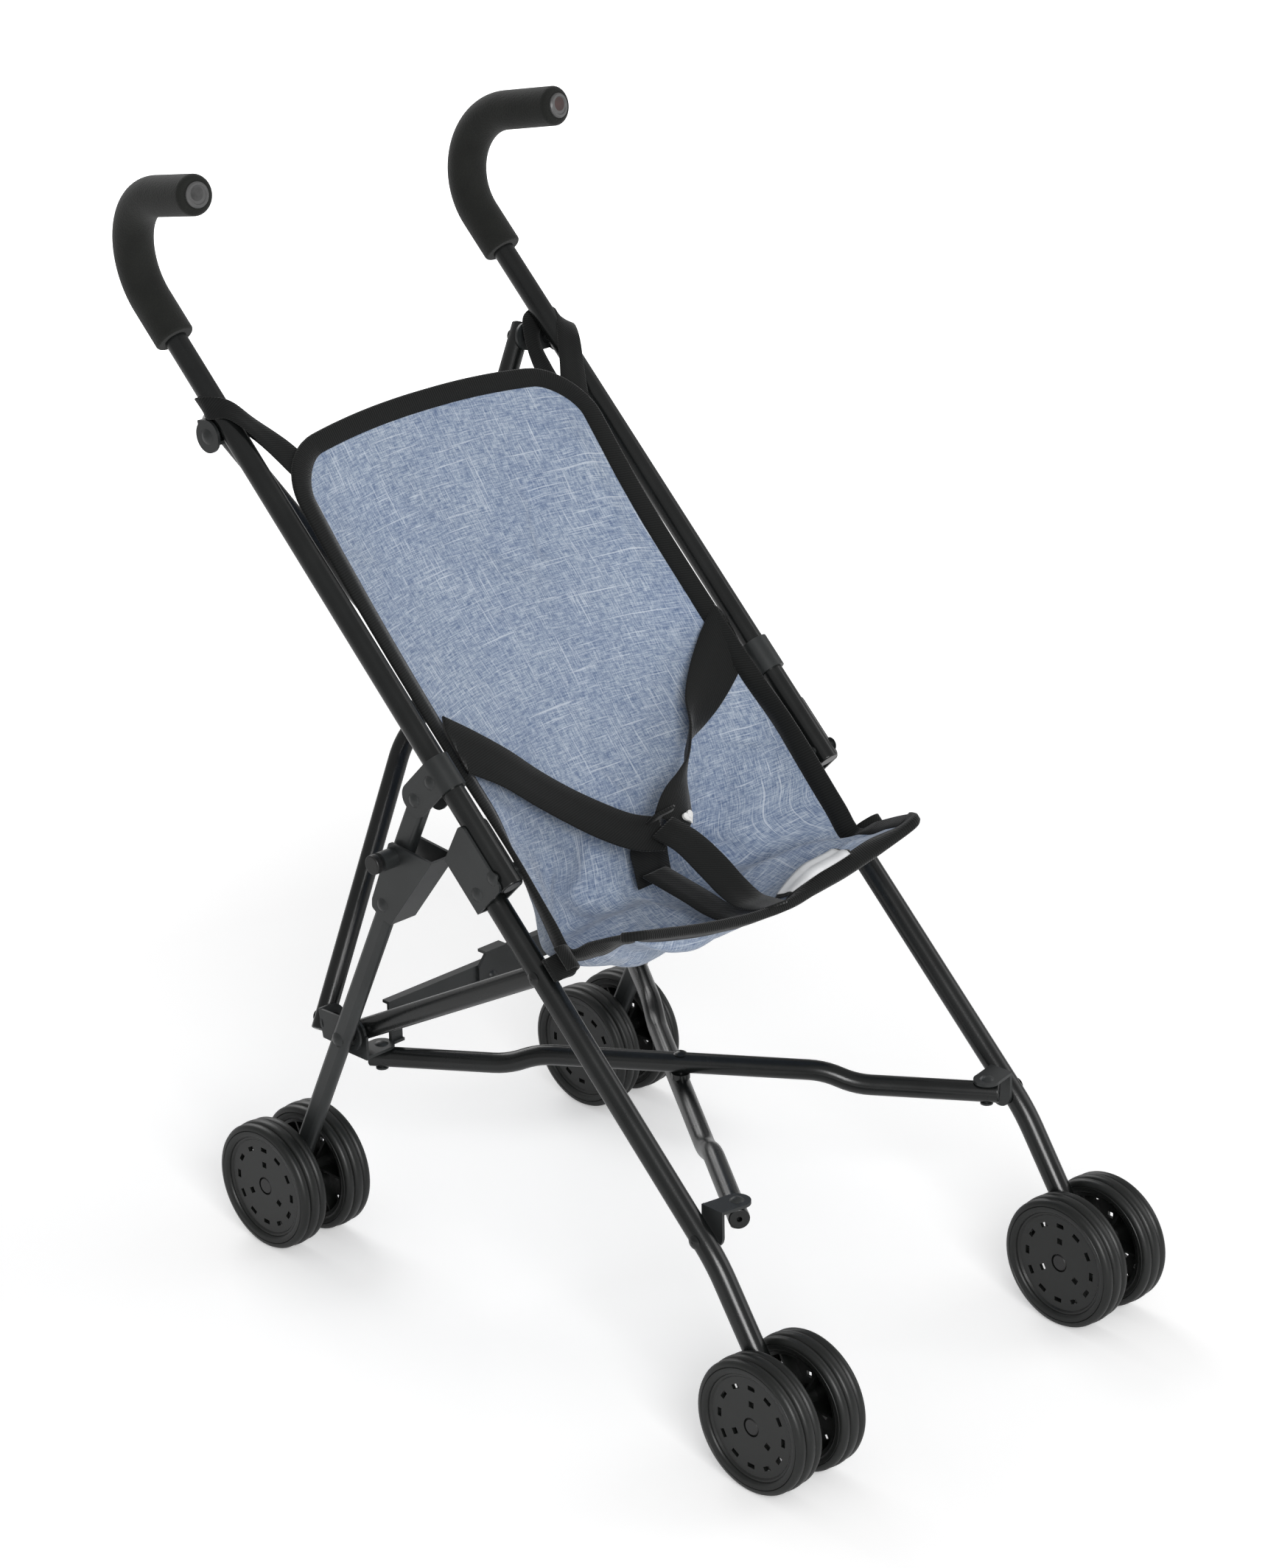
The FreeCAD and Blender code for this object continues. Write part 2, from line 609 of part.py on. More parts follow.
def oval(grow):
    """Flat-oval section of the rear leg, `grow` wider all round."""
    flat, thick, arc = S.oval_flat, S.oval_thick + grow, S.oval_arc + grow
    return [(flat, -thick, arc, "left"), (flat, thick), (-flat, thick, arc, "left"),
            (-flat, -thick)]


def make_rear_leg(side, hand):
    """The flat-oval rear leg with the pivot that carries strut and knuckle."""
    leg = Piece("rear_leg_" + side, frame(hand * S.rear_leg_x.value, REAR_PIVOT, LEG_ANGLE))
    low, high = -(rear_foot() + S.foot_margin), S.rear_leg_upper + S.foot_margin
    leg.pad([oval(Size.of(0)), oval(-S.tube_wall)], low, high, "YZ")
    for level in (low, high - S.plug_depth):
        leg.pad([oval(-S.tube_wall * 0.5)], level, level + S.plug_depth, "YZ")
    reach = S.oval_thick + 1.0
    leg.cut([Ring(-rear_foot(), 0, S.axle_radius + 0.02)], -reach, reach)
    leg.cut([Ring(S.rear_leg_upper, 0, S.pin_radius + 0.02)], -reach, reach)
    strut_inner = S.rear_leg_x - S.strut_x + S.strut_radius
    leg.pad([Ring(0, 0, S.pin_radius)], -hand * (S.oval_thick - 0.6),
            -hand * (strut_inner + S.running_gap + 0.5))
    leg.pad([Ring(0, 0, S.head_radius)], -hand * (strut_inner + S.running_gap),
            -hand * (strut_inner + S.running_gap + 1.0))
    collar_out = S.rear_leg_x - S.ear_plate_x + 0.5
    collar_in = S.rear_leg_x - S.knuckle_plate_x - S.sheet_steel - 1.0
    leg.pad([Ring(0, 0, S.pin_radius + 1.2)], -hand * collar_out, -hand * collar_in)
    leg.dome(0, 0, hand * S.oval_thick, hand, radius=S.head_radius + 0.3)


def make_link(side, hand):
    """The short flat link between the clamp and the lock channel."""
    reach = distance(CLAMP_PIVOT, KNOB)
    piece = Piece("short_link_" + side,
                  frame(hand * S.link_x.value, CLAMP_PIVOT, heading(CLAMP_PIVOT, KNOB)))
    half, thick = S.oval_half, S.link_half_thick
    reach = Size.of(reach)
    piece.pad([[(0.0, -half), (reach, -half, half, "left"), (reach + half, 0.0, half, "left"),
                (reach, half), (0.0, half, half, "left"), (0.0 - half, 0.0, half, "left")]],
              -thick, thick)

    def rim(edge):
        ends = [v.Point for v in edge.Vertexes]
        return all(abs(abs(p.z) - thick.value) < 1e-4 for p in ends) and \
            abs(ends[0].z - ends[-1].z) < 1e-4
    piece.round(rim, thick * 0.55)
    piece.cut([Ring(0, 0, S.pin_radius + S.fit_gap)], -thick - 1.0, thick + 1.0)
    piece.cut([Ring(reach, 0, S.stem_radius + S.fit_gap)], -thick - 1.0, thick + 1.0)


def make_channel(side, hand):
    """The folded lock channel and its press button."""
    piece = Piece("lock_channel_" + side, frame(0.0, REAR_TOP, LEG_ANGLE))
    knob = local(KNOB, REAR_TOP, LEG_ANGLE)
    clamp = local(CLAMP_PIVOT, REAR_TOP, LEG_ANGLE)
    corner = (clamp[0] - 20.4, clamp[1] + 22.6)
    plate = [(knob[0] + 5.5, knob[1] - 5.0), corner, (-5.5, 8.6), (-7.0, 2.0), (-6.0, -5.5),
             (-2.0, -7.0)]
    web = [corner, (-5.5, 8.6), (-4.5, 7.1), (corner[0] - 0.6, corner[1] - 1.6)]
    outer, inner, steel = S.channel_outer, S.channel_inner, S.sheet_steel
    for level in (outer, inner + steel):
        piece.pad([plate], hand * level, hand * (level - steel))
    piece.pad([web], hand * inner, hand * outer)

    def corner_edge(edge):
        ends = [v.Point for v in edge.Vertexes]
        flat = len(ends) == 2 and (ends[0] - ends[1]).cross(FreeCAD.Vector(0, 0, 1)).Length < 1e-4
        return flat and (abs(ends[0].x - plate[0][0]) < 1e-3 or abs(ends[0].x + 6.0) < 1e-3 or
                         abs(ends[0].x + 2.0) < 1e-3)
    piece.round(corner_edge, S.ear_radius * 0.3)
    piece.pad([Ring(0, 0, S.pin_radius)], hand * inner, hand * outer)
    piece.dome(0, 0, hand * outer, hand)
    piece.dome(0, 0, hand * inner, -hand, height=S.head_height * 0.6)
    collar = S.knob_face - S.knob_head - S.knob_travel - S.running_gap
    piece.pad([Ring(knob[0], knob[1], S.knob_radius)], hand * (outer - 0.2), hand * collar)
    piece.cut([Ring(knob[0], knob[1], S.stem_radius + S.fit_gap)],
              hand * (outer - steel - 0.5), hand * (collar + 1.0))

    button = Piece("lock_button_" + side, frame(0.0, KNOB, LEG_ANGLE))
    face = S.knob_face
    button.pad([Ring(0, 0, S.knob_radius)], hand * (face - S.knob_head), hand * face)
    button.round(end_face(hand * face.value, S.knob_radius.value), S.end_round)
    button.pad([Ring(0, 0, S.stem_radius)], hand * (S.link_x - S.link_half_thick + 1.5),
               hand * (face - S.knob_head + 0.5))


def end_face(level, radius):
    """Picks the circular edge at a level along Z."""
    def test(edge):
        curve = edge.Curve
        return (isinstance(curve, Part.Circle) and abs(curve.Radius - radius) < 1e-4
                and abs(curve.Center.z - level) < 1e-4)
    return test


def make_strut(side, hand):
    """The side strut from the rear pivot to the front leg."""
    piece = Piece("side_strut_" + side,
                  frame(hand * S.strut_x.value, REAR_PIVOT, heading(REAR_PIVOT, STRUT_TOP)))
    reach = Size.of(distance(REAR_PIVOT, STRUT_TOP))
    low, high = -S.foot_margin, reach + S.foot_margin
    piece.pad(tube_rings(S.strut_radius), low, high, "YZ")
    for level in (low, high - S.plug_depth):
        piece.pad([Ring(0, 0, S.strut_radius - S.tube_wall * 0.5)],
                  level, level + S.plug_depth, "YZ")
    for level in (low, high):
        piece.round(end_circle(level.value, S.strut_radius.value), S.end_round)
    piece.cut([Ring(0, 0, S.pin_radius + S.fit_gap)],
              -S.strut_radius - 1.0, S.strut_radius + 1.0)
    piece.dome(reach, 0, -hand * (S.strut_radius - 0.35), -hand, height=S.head_height * 0.7)


def cross_placement(foot, top, hand_top, reach_x):
    """Frame of a cross tube: X from foot to top, Z square to the cross's plane."""
    rise = distance(foot, top)
    middle = ((foot[0] + top[0]) * 0.5, (foot[1] + top[1]) * 0.5)
    tilt = heading(foot, top)
    step_up = polar(tilt, 1.0)
    half = math.hypot(rise * 0.5, reach_x)
    along = FreeCAD.Vector(hand_top * reach_x / half, step_up[0] * rise * 0.5 / half,
                           step_up[1] * rise * 0.5 / half)
    out = polar(tilt - 90.0, 1.0)
    normal = FreeCAD.Vector(0, out[0], out[1])
    turn = FreeCAD.Rotation(along, normal.cross(along), normal, "ZXY")
    return FreeCAD.Placement(place(0.0, middle), turn), half


def joggle_path(half, tail, lift, start, long):
    """A straight tube lifted by `lift` in its middle through two S-bends."""
    radius = (long * long + lift * lift) / (lift * 4.0)
    radius = radius if radius.value > 0 else -radius
    up, down = ("left", "right") if lift.value > 0 else ("right", "left")
    edge, middle = start + long, start + long * 0.5
    return [(0.0 - half - tail, 0.0), (-edge, 0.0, radius, up),
            (-middle, lift * 0.5, radius, down), (-start, lift),
            (start, lift, radius, down), (middle, lift * 0.5, radius, up),
            (edge, 0.0), (half + tail, 0.0)]


def make_cross_tube(label, placement, half, lift, tail, start, long):
    """A joggled cross tube with closed ends."""
    piece = Piece(label, placement)
    half = Size.of(half)
    path = joggle_path(half, tail, lift, start, long)
    spine = piece.sketch([path], "XZ", shut=False)
    profile = piece.sketch(tube_rings(S.cross_radius), "YZ", path[0][0])
    feature = piece.body.newObject("PartDesign::AdditivePipe", piece.name("pipe"))
    feature.Profile = profile
    feature.Spine = (spine, [])
    ends = (path[0][0], path[-1][0])
    for level, way in ((ends[0], 1.0), (ends[1], -1.0)):
        piece.pad([Ring(0, 0, S.cross_radius - S.tube_wall * 0.5), Ring(0, 0, 1.3)],
                  level, level + S.plug_depth * way, "YZ")
    for level in ends:
        piece.round(end_circle(Size.of(level).value, S.cross_radius.value), S.end_round)
    return piece, half


def make_rear_cross():
    """The two rear cross tubes with their pins, and the brackets at their ends."""
    reach = S.cross_radius + S.ear_gap + S.sheet_steel + 0.2
    for label, way in (("rear_cross_tube_a", -1), ("rear_cross_tube_b", 1)):
        place, half = cross_placement(CROSS_FOOT, CROSS_TOP, way, S.cross_x.value)
        lift = S.cross_joggle * (-float(way))
        piece, half = make_cross_tube(label, place, half, lift, S.cross_tail,
                                      S.cross_joggle_from, S.cross_joggle_long)
        for end in (-half, half):
            piece.pad([Ring(end, 0, S.small_pin_radius)], S.cross_radius - 0.5, -reach - 0.4)
            piece.pad([Ring(end, 0, S.head_radius - 0.4)], -reach, -reach - 0.9)
            piece.dome(end, 0, S.cross_radius - 0.35, 1)
        if way < 0:
            far = -(S.cross_joggle + S.cross_radius + 0.2)
            piece.pad([Ring(0, 0, S.small_pin_radius)], lift, far - 0.4)
            piece.pad([Ring(0, 0, S.head_radius - 0.4)], far, far - 0.9)
            piece.dome(0, 0, lift + S.cross_radius - 0.35, 1)
        else:
            piece.cut([Ring(0, 0, S.small_pin_radius + S.fit_gap)],
                      lift - S.cross_radius - 1.0, lift + S.cross_radius + 1.0)

    near = -(S.cross_radius + S.ear_gap)
    far = near - S.sheet_steel
    for side, hand in SIDES:
        top = Piece("upper_bracket_" + side, frame(0.0, CROSS_TOP, CROSS_TILT))
        pivot = local(UPPER_PIVOT, CROSS_TOP, CROSS_TILT)
        plate_in, plate_out = S.bracket_plate_x, S.bracket_plate_x + S.sheet_steel
        low, high = min(pivot[1] - 6.2, 0.0), max(pivot[1] + 7.8, 0.0)
        top.pad([box(low, hand * S.cross_x, high, hand * plate_out)], far, near, "YZ")
        top.pad([Ring(0, hand * S.cross_x, S.cross_ear_radius - 0.5)], far, near, "YZ")
        top.pad([[(near, pivot[1] - 6.2), (near, pivot[1] + 7.8), (pivot[0], pivot[1] + 8.0),
                  (pivot[0], pivot[1] - 8.0)]], hand * plate_in, hand * plate_out)
        top.pad([Ring(pivot[0], pivot[1], 8.0)], hand * plate_in, hand * plate_out)
        top.cut([Ring(0, hand * S.cross_x, S.small_pin_radius + S.fit_gap)],
                far - 0.5, near + 0.5, "YZ")
        top.pad([Ring(pivot[0], pivot[1], S.lug_pin_radius)],
                hand * (S.front_leg_x + S.lug_inner), hand * (plate_in + 0.5))
        top.dome(pivot[0], pivot[1], hand * plate_out, hand, radius=S.head_radius + 0.4)

        ear = Piece("rear_ear_bracket_" + side, frame(0.0, CROSS_FOOT, CROSS_TILT))
        hook = local(REAR_PIVOT, CROSS_FOOT, CROSS_TILT)
        inside, outside = S.ear_plate_x, S.ear_plate_x + S.ear_plate_thick
        round_ear = S.cross_ear_radius
        ear.pad([box(-round_ear, hand * S.cross_x, round_ear, hand * outside)],
                far, near, "YZ")
        ear.pad([Ring(0, hand * S.cross_x, round_ear)], far, near, "YZ")
        ear.pad([[(near, -round_ear), (near, round_ear), (hook[0], hook[1] + 8.0),
                  (hook[0], hook[1] - 8.0)]], hand * inside, hand * outside)
        ear.pad([Ring(hook[0], hook[1], 8.0)], hand * inside, hand * outside)
        ear.cut([Ring(0, hand * S.cross_x, S.small_pin_radius + S.fit_gap)],
                far - 0.5, near + 0.5, "YZ")
        ear.cut([Ring(hook[0], hook[1], S.open_hole)],
                hand * (inside - 0.5), hand * (outside + 0.5))


def make_lower_cross():
    """The two lower cross tubes, the front brackets and the rear knuckles."""
    gap = S.lower_joggle * 2.0 - S.cross_radius * 2.0
    for label, way in (("lower_cross_tube_a", 1), ("lower_cross_tube_b", -1)):
        place, half = cross_placement(LOWER_REAR, LOWER_FRONT, way, S.lower_x.value)
        lift = S.lower_joggle * float(way)
        piece, half = make_cross_tube(label, place, half, lift, S.lower_tail,
                                      S.lower_joggle_from, S.lower_joggle_long)
        for end in (-half, half):
            piece.cut([Ring(end, 0, S.small_pin_radius + S.fit_gap)],
                      -S.cross_radius - 1.0, S.cross_radius + 1.0)
        if way > 0:
            far = -(S.lower_joggle + S.cross_radius + 0.2)
            piece.pad([Ring(0, 0, S.small_pin_radius)], lift, far - 0.4)
            piece.pad([Ring(0, 0, S.head_radius - 0.4)], far, far - 0.9)
            piece.dome(0, 0, lift + S.cross_radius - 0.35, 1)
        else:
            piece.pad([Ring(0, 0, S.head_radius + 1.0)], lift + S.cross_radius - 0.8,
                      lift + S.cross_radius + gap - 0.3)
            piece.cut([Ring(0, 0, S.small_pin_radius + S.fit_gap)],
                      lift - S.cross_radius - 1.0, lift + S.cross_radius + gap + 1.0)

    under = S.cross_radius + S.ear_gap
    over = under + S.sheet_steel
    for side, hand in SIDES:
        front = Piece("front_bracket_" + side, frame(0.0, LOWER_FRONT, LOWER_TILT))
        pivot = local(FRONT_PIVOT, LOWER_FRONT, LOWER_TILT)
        inside, outside = S.front_plate_x, S.front_plate_x + S.sheet_steel
        low, high = pivot[0] - S.lower_ear_radius, pivot[0] + S.lower_ear_radius
        front.pad([box(low, pivot[1], high, over)], hand * inside, hand * outside)
        front.pad([Ring(pivot[0], pivot[1], S.lower_ear_radius)],
                  hand * inside, hand * outside)
        front.pad([[(low, hand * outside), (high, hand * outside),
                    (S.lower_ear_radius, hand * S.lower_x),
                    (-S.lower_ear_radius, hand * S.lower_x)]], under, over, "XZ")
        front.pad([Ring(0, hand * S.lower_x, S.lower_ear_radius)], under, over, "XZ")
        finish_ear(front, hand, Size.of(0), under, over)

        rear = Piece("lower_knuckle_" + side, frame(0.0, LOWER_REAR, LOWER_TILT))
        hook = local(REAR_PIVOT, LOWER_REAR, LOWER_TILT)
        inside, outside = S.knuckle_plate_x, S.knuckle_plate_x + S.sheet_steel
        rear.pad([box(-7.0, under, 7.0, hook[1])], hand * inside, hand * outside)
        rear.pad([Ring(hook[0], hook[1], 7.0)], hand * inside, hand * outside)
        rear.pad([box(-S.lower_ear_radius, hand * S.lower_x, S.lower_ear_radius,
                      hand * outside)], under, over, "XZ")
        rear.pad([Ring(0, hand * S.lower_x, S.lower_ear_radius)], under, over, "XZ")
        rear.cut([Ring(hook[0], hook[1], S.pin_radius + S.fit_gap)],
                 hand * (inside - 0.5), hand * (outside + 0.5))
        make_brace_tab(rear, hand, under, over)
        finish_ear(rear, hand, Size.of(0), under, over)


def finish_ear(piece, hand, along, under, over):
    """Adds the upright rivet that holds a lower cross tube under an ear."""
    spot = hand * S.lower_x
    piece.pad([Ring(along, spot, S.small_pin_radius)], over - 0.5,
              -S.cross_radius - 0.6, "XZ")
    piece.pad([Ring(along, spot, S.head_radius - 0.4)], -S.cross_radius - 0.2,
              -S.cross_radius - 1.1, "XZ")
    piece.dome(along, spot, over, 1, "XZ")


def brace_levels(hand):
    """Front face of a brace arm, measured in the lower cross's frame."""
    front = S.brace_right_y if hand < 0 else S.brace_left_y
    return front - S.lower_rear_y


def make_brace_tab(piece, hand, under, over):
    """The upright tab on the knuckle that the brace arm turns on."""
    near = brace_levels(hand) + S.sheet_steel + 0.4
    pivot = S.brace_pivot_z - S.lower_rear_z
    middle = hand * S.brace_pivot_x
    piece.pad([box(under, middle - 3.6, pivot, middle + 3.6)], near, near + 2.0, "YZ")
    piece.pad([Ring(pivot, middle, 3.6)], near, near + 2.0, "YZ")
    piece.pad([Ring(pivot, middle, S.lug_pin_radius)], near - S.sheet_steel - 0.9,
              near + 0.5, "YZ")
    piece.pad([Ring(pivot, middle, 3.0)], near - S.sheet_steel - 1.7,
              near - S.sheet_steel - 0.7, "YZ")
    piece.pad([box(-3.0, hand * S.lower_x, near + 2.0, hand * (S.brace_pivot_x - 3.6))],
              under, over, "XZ")


def make_brace(side, hand):
    """A brace arm: a web with a top flange, the right one with the foot pedal."""
    arm = Piece("brace_arm_" + side, frame(0.0, LOWER_REAR, LOWER_TILT))
    front, base, steel = brace_levels(hand), S.lower_rear_z, S.sheet_steel
    low, high, pivot = S.brace_low - base, S.brace_high - base, S.brace_pivot_z - base
    outer, lap = hand * (S.brace_pivot_x + 6.0), -hand * S.brace_lap
    arm.pad([box(low, outer, high, lap)], front, front + steel, "YZ")
    arm.pad([box(front, outer, front + S.brace_flange, lap)], high - steel, high, "XZ")
    arm.cut([Ring(pivot, hand * S.brace_pivot_x, S.lug_pin_radius + S.fit_gap)],
            front - 0.5, front + steel + 0.5, "YZ")
    if hand < 0:
        arm.pad([[(low + 2.0, -24.0), (high - 1.0, -24.0), (high + 5.0, -19.0),
                  (high + 6.0, -6.0), (high + 3.0, 2.0), (low + 1.0, 4.0)]],
                front - steel, front + 0.2, "YZ")
        arm.pad([box(front - steel, -19.0, front + S.brace_flange, -5.0)],
                high + 4.6, high + 6.1, "XZ")
        arm.dome(pivot, -15.0, front - steel, -1, "YZ", radius=S.head_radius - 0.5)


def make_wheel(label, across, point, way):
    """A wheel disc with its tyre; `way` is the side its face looks to."""
    turn = FreeCAD.Rotation(FreeCAD.Vector(0, 0, 1), 0.0 if way > 0 else 180.0)
    here = FreeCAD.Placement(place(across, point), turn)
    disc = Piece("wheel_disc_" + label, here)
    rim, wall, hub = S.rim_radius, S.rim_wall, S.hub_radius
    half, bore = S.rim_depth * 0.5, S.axle_radius + 0.1
    face_out = half - 0.8
    face_in = face_out - S.face_thickness
    dish = S.axle_head_radius + 0.6
    disc.revolve([(-half, rim), (-half, rim - wall), (face_in, rim - wall), (face_in, hub),
                  (-S.hub_reach, hub - 1.5), (-S.hub_reach, bore), (face_in + 0.4, bore),
                  (face_in + 0.4, dish), (face_out, dish), (face_out, rim - wall),
                  (half, rim - wall * 0.5), (half, rim)])
    deep = (face_in - 0.5, face_out + 0.5)
    slot = disc.cut([box(-S.slot_long * 0.5, S.slot_ring_radius - S.slot_wide * 0.5,
                         S.slot_long * 0.5, S.slot_ring_radius + S.slot_wide * 0.5)],
                    deep[0], deep[1], "YZ")
    disc.pattern(slot, S.slot_count)
    window = disc.cut([box(-S.window_wide * 0.5, S.window_ring_radius - S.window_wide * 0.5,
                           S.window_wide * 0.5, S.window_ring_radius + S.window_wide * 0.5)],
                      deep[0], deep[1], "YZ")
    disc.pattern(window, S.window_count)
    rib = disc.pad([box(hub - 1.0, -S.wheel_rib_wide * 0.5, rim - wall * 0.5,
                        S.wheel_rib_wide * 0.5)], -half + 3.0, face_in + 0.3, "YZ")
    disc.pattern(rib, S.rib_count)

    tyre = Piece("tyre_" + label, here)
    edge, big = S.tyre_width * 0.5, S.wheel_radius
    inside = rim + S.fit_gap
    side_line = [(edge - 1.4, inside), (edge, inside + 1.5), (edge, big - 3.6),
                  (edge - 0.9, big - 1.5), (edge - 2.6, big)]
    tyre.revolve(side_line + [(0.0 - a, r) for a, r in reversed(side_line)])


def make_axle(label, across, point, leg_half):
    """An axle with a head at each end and collars beside the leg."""
    axle = Piece(label, FreeCAD.Placement(place(across, point), FreeCAD.Rotation()))
    face = S.wheel_spacing * 0.5 + S.rim_depth * 0.5 - 0.8 - S.face_thickness + 0.4
    rod, head, top = S.axle_radius, S.axle_head_radius, S.axle_head_height
    end = face + S.running_gap
    outline = [(0.0 - end - top, 0.0), (end + top, 0.0), (end + top, head - 0.4),
               (end + top * 0.6, head), (end, head), (end, rod)]
    hub_face = S.wheel_spacing * 0.5 - S.hub_reach
    if hub_face.value - leg_half.value > 1.2:
        right = [(hub_face - S.running_gap, rod), (hub_face - S.running_gap, hub_radius_small()),
                 (leg_half + 0.02, hub_radius_small()), (leg_half + 0.02, rod)]
        left = [(0.0 - a, r) for a, r in reversed(right)]
        outline += right + left
    outline += [(0.0 - end, rod), (0.0 - end, head), (0.0 - end - top * 0.6, head),
                (0.0 - end - top, head - 0.4)]
    axle.revolve(outline)


def hub_radius_small():
    """Radius of the hub's inner end and of the collars beside it."""
    return S.hub_radius - 1.5


def make_running_gear():
    """Four pairs of wheels on their axles."""
    for end, point, across, half in (("front", FRONT_AXLE, S.front_leg_x, S.tube_radius),
                                     ("rear", REAR_AXLE, S.rear_leg_x, S.oval_thick)):
        for side, hand in SIDES:
            middle = hand * across.value
            make_axle("axle_%s_%s" % (end, side), middle, point, half)
            for name, way in (("outer", hand), ("inner", -hand)):
                make_wheel("%s_%s_%s" % (end, side, name),
                           middle + way * S.wheel_spacing.value * 0.5, point, way)


def make_soft_parts():
    """The seat sling, the harness and its stud, as plain closed pieces."""
    sling = Piece("seat_sling", frame(0.0, (0.0, 0.0), 0.0))
    under_belt = S.belt_height.value - S.running_gap.value - S.sling_thick.value * 0.5
    rivet_face = S.front_leg_x - S.tube_radius - S.sheet_steel - S.head_height * 0.6
    half = rivet_face - S.running_gap * 2.0
    edge = [(231.0, 4.6), (158.0, 3.5), (84.0, under_belt), (46.0, under_belt), (10.0, 0.5),
            (-43.6, -0.4), (-48.0, 11.9), (-54.1, 25.8), (-61.1, 44.5)]
    sag = [(239.0, 4.5), (165.8, -6.2), (84.0, -15.6), (46.0, -19.7), (12.0, -23.5),
           (-22.9, -37.3), (-50.4, -16.9), (-71.0, 9.4), (-73.3, 29.5)]
    sections = []
    for share in SLING_SHARES:
        low = 1.0 - abs(share) ** S.sling_belly.value
        line = [step(KNEE, ANGLE, a + (c - a) * low, b + (d - b) * low)
                for (a, b), (c, d) in zip(edge, sag)]
        sections.append((ribbon(line, S.sling_thick), half * share))
    sling.loft(sections)

    harness = Piece("harness", frame(0.0, KNEE, ANGLE))
    low, high = S.belt_height, S.belt_height + S.belt_thick
    half = S.belt_half
    harness.pad([[(76.0, -half), (4.0, 0.0), (76.0, half), (52.0, half), (-12.0, 14.0),
                  (-24.0, 10.0), (-24.0, -10.0), (-12.0, -14.0), (52.0, -half)]],
                low, high, "XZ")
    strap = [(-20.0, 6.0), (-36.0, 4.5), (-50.0, 6.0), (-61.0, 13.0), (-68.0, 23.0), (-71.0, 31.9)]
    harness.pad([ribbon(strap, S.belt_thick)], -S.strap_half, S.strap_half)

    stud = Piece("harness_stud", frame(0.0, KNEE, ANGLE))
    base, top = high, high + 1.8
    for way in (-1.0, 1.0):
        stud.pad([Ring(-14.2, way * 1.45, 1.9)], base, top, "XZ")
    stud.pad([[(-14.9, -3.2), (-18.4, 0.0), (-14.9, 3.2), (-13.6, 1.6), (-13.6, -1.6)]],
             base, top, "XZ")


def ribbon(line, thick):
    """A closed strip of even thickness along a line of points."""
    above, below = [], []
    for index, point in enumerate(line):
        before = line[max(index - 1, 0)]
        after = line[min(index + 1, len(line) - 1)]
        run, rise = after[0] - before[0], after[1] - before[1]
        long = math.hypot(run, rise)
        shift = (-rise / long, run / long)
        above.append((point[0] + shift[0] * thick * 0.5, point[1] + shift[1] * thick * 0.5))
        below.append((point[0] - shift[0] * thick * 0.5, point[1] - shift[1] * thick * 0.5))
    return above + below[::-1]


def build():
    """Builds every piece of the stroller."""
    for side, hand in SIDES:
        make_handle(side, hand)
        make_clamp(side, hand)
        make_front_leg(side, hand)
        make_rear_leg(side, hand)
        make_link(side, hand)
        make_channel(side, hand)
        make_strut(side, hand)
        make_brace(side, hand)
    make_rear_cross()
    make_lower_cross()
    make_running_gear()
    make_soft_parts()


def write():
    """Checks every object and writes one STEP file for each piece."""
    DOC.recompute()
    for thing in DOC.Objects:
        if "Invalid" in thing.State or "Error" in thing.State:
            raise RuntimeError("%s failed: %s" % (thing.Name, thing.State))
    os.makedirs("parts", exist_ok=True)
    for piece in PIECES:
        shape = piece.body.Shape
        if shape.isNull() or not shape.isValid() or len(shape.Solids) != 1:
            raise RuntimeError("%s is not one sound solid" % piece.body.Label)
    for piece in PIECES:
        piece.body.Shape.exportStep("parts/%s.step" % piece.body.Label)
    print("%d pieces written" % len(PIECES))


build()
write()
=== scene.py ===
"""Doll stroller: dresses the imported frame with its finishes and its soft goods.

The frame's axes hold throughout: -Y is the front, +Z is up and +X is the
stroller's own left.  Places are chosen in millimetres, either behind the front
axle and above the floor, which `spot` turns into the frame's metres, or beside
the handles, which `LINE.point` turns.  Widths and thicknesses are in metres
unless a docstring says otherwise.
"""
import json
import logging
import math
from contextlib import contextmanager
from dataclasses import dataclass, field
from enum import Enum
from typing import Callable, Iterator, Sequence

import bmesh
import bpy
from mathutils import Matrix, Vector, noise


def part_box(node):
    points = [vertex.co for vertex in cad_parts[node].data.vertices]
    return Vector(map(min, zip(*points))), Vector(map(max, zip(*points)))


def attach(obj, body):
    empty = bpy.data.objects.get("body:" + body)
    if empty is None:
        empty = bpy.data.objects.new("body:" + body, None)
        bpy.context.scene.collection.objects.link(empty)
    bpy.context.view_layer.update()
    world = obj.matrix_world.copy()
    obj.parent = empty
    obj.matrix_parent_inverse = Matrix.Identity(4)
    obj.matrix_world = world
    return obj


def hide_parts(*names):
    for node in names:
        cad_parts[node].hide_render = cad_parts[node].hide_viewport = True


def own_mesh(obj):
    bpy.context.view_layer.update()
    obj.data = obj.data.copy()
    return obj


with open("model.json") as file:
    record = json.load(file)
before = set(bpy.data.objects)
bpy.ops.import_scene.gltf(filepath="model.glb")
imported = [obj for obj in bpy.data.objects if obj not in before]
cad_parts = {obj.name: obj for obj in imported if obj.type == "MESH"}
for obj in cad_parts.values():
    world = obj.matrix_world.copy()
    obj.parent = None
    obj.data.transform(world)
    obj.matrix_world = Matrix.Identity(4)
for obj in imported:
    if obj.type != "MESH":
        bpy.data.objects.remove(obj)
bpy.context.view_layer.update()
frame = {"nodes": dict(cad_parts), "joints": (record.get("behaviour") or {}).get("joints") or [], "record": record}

LOG = logging.getLogger("stroller")
Point = tuple[float, float, float]
Place = tuple[float, float, float, float]
Flat = tuple[float, float]
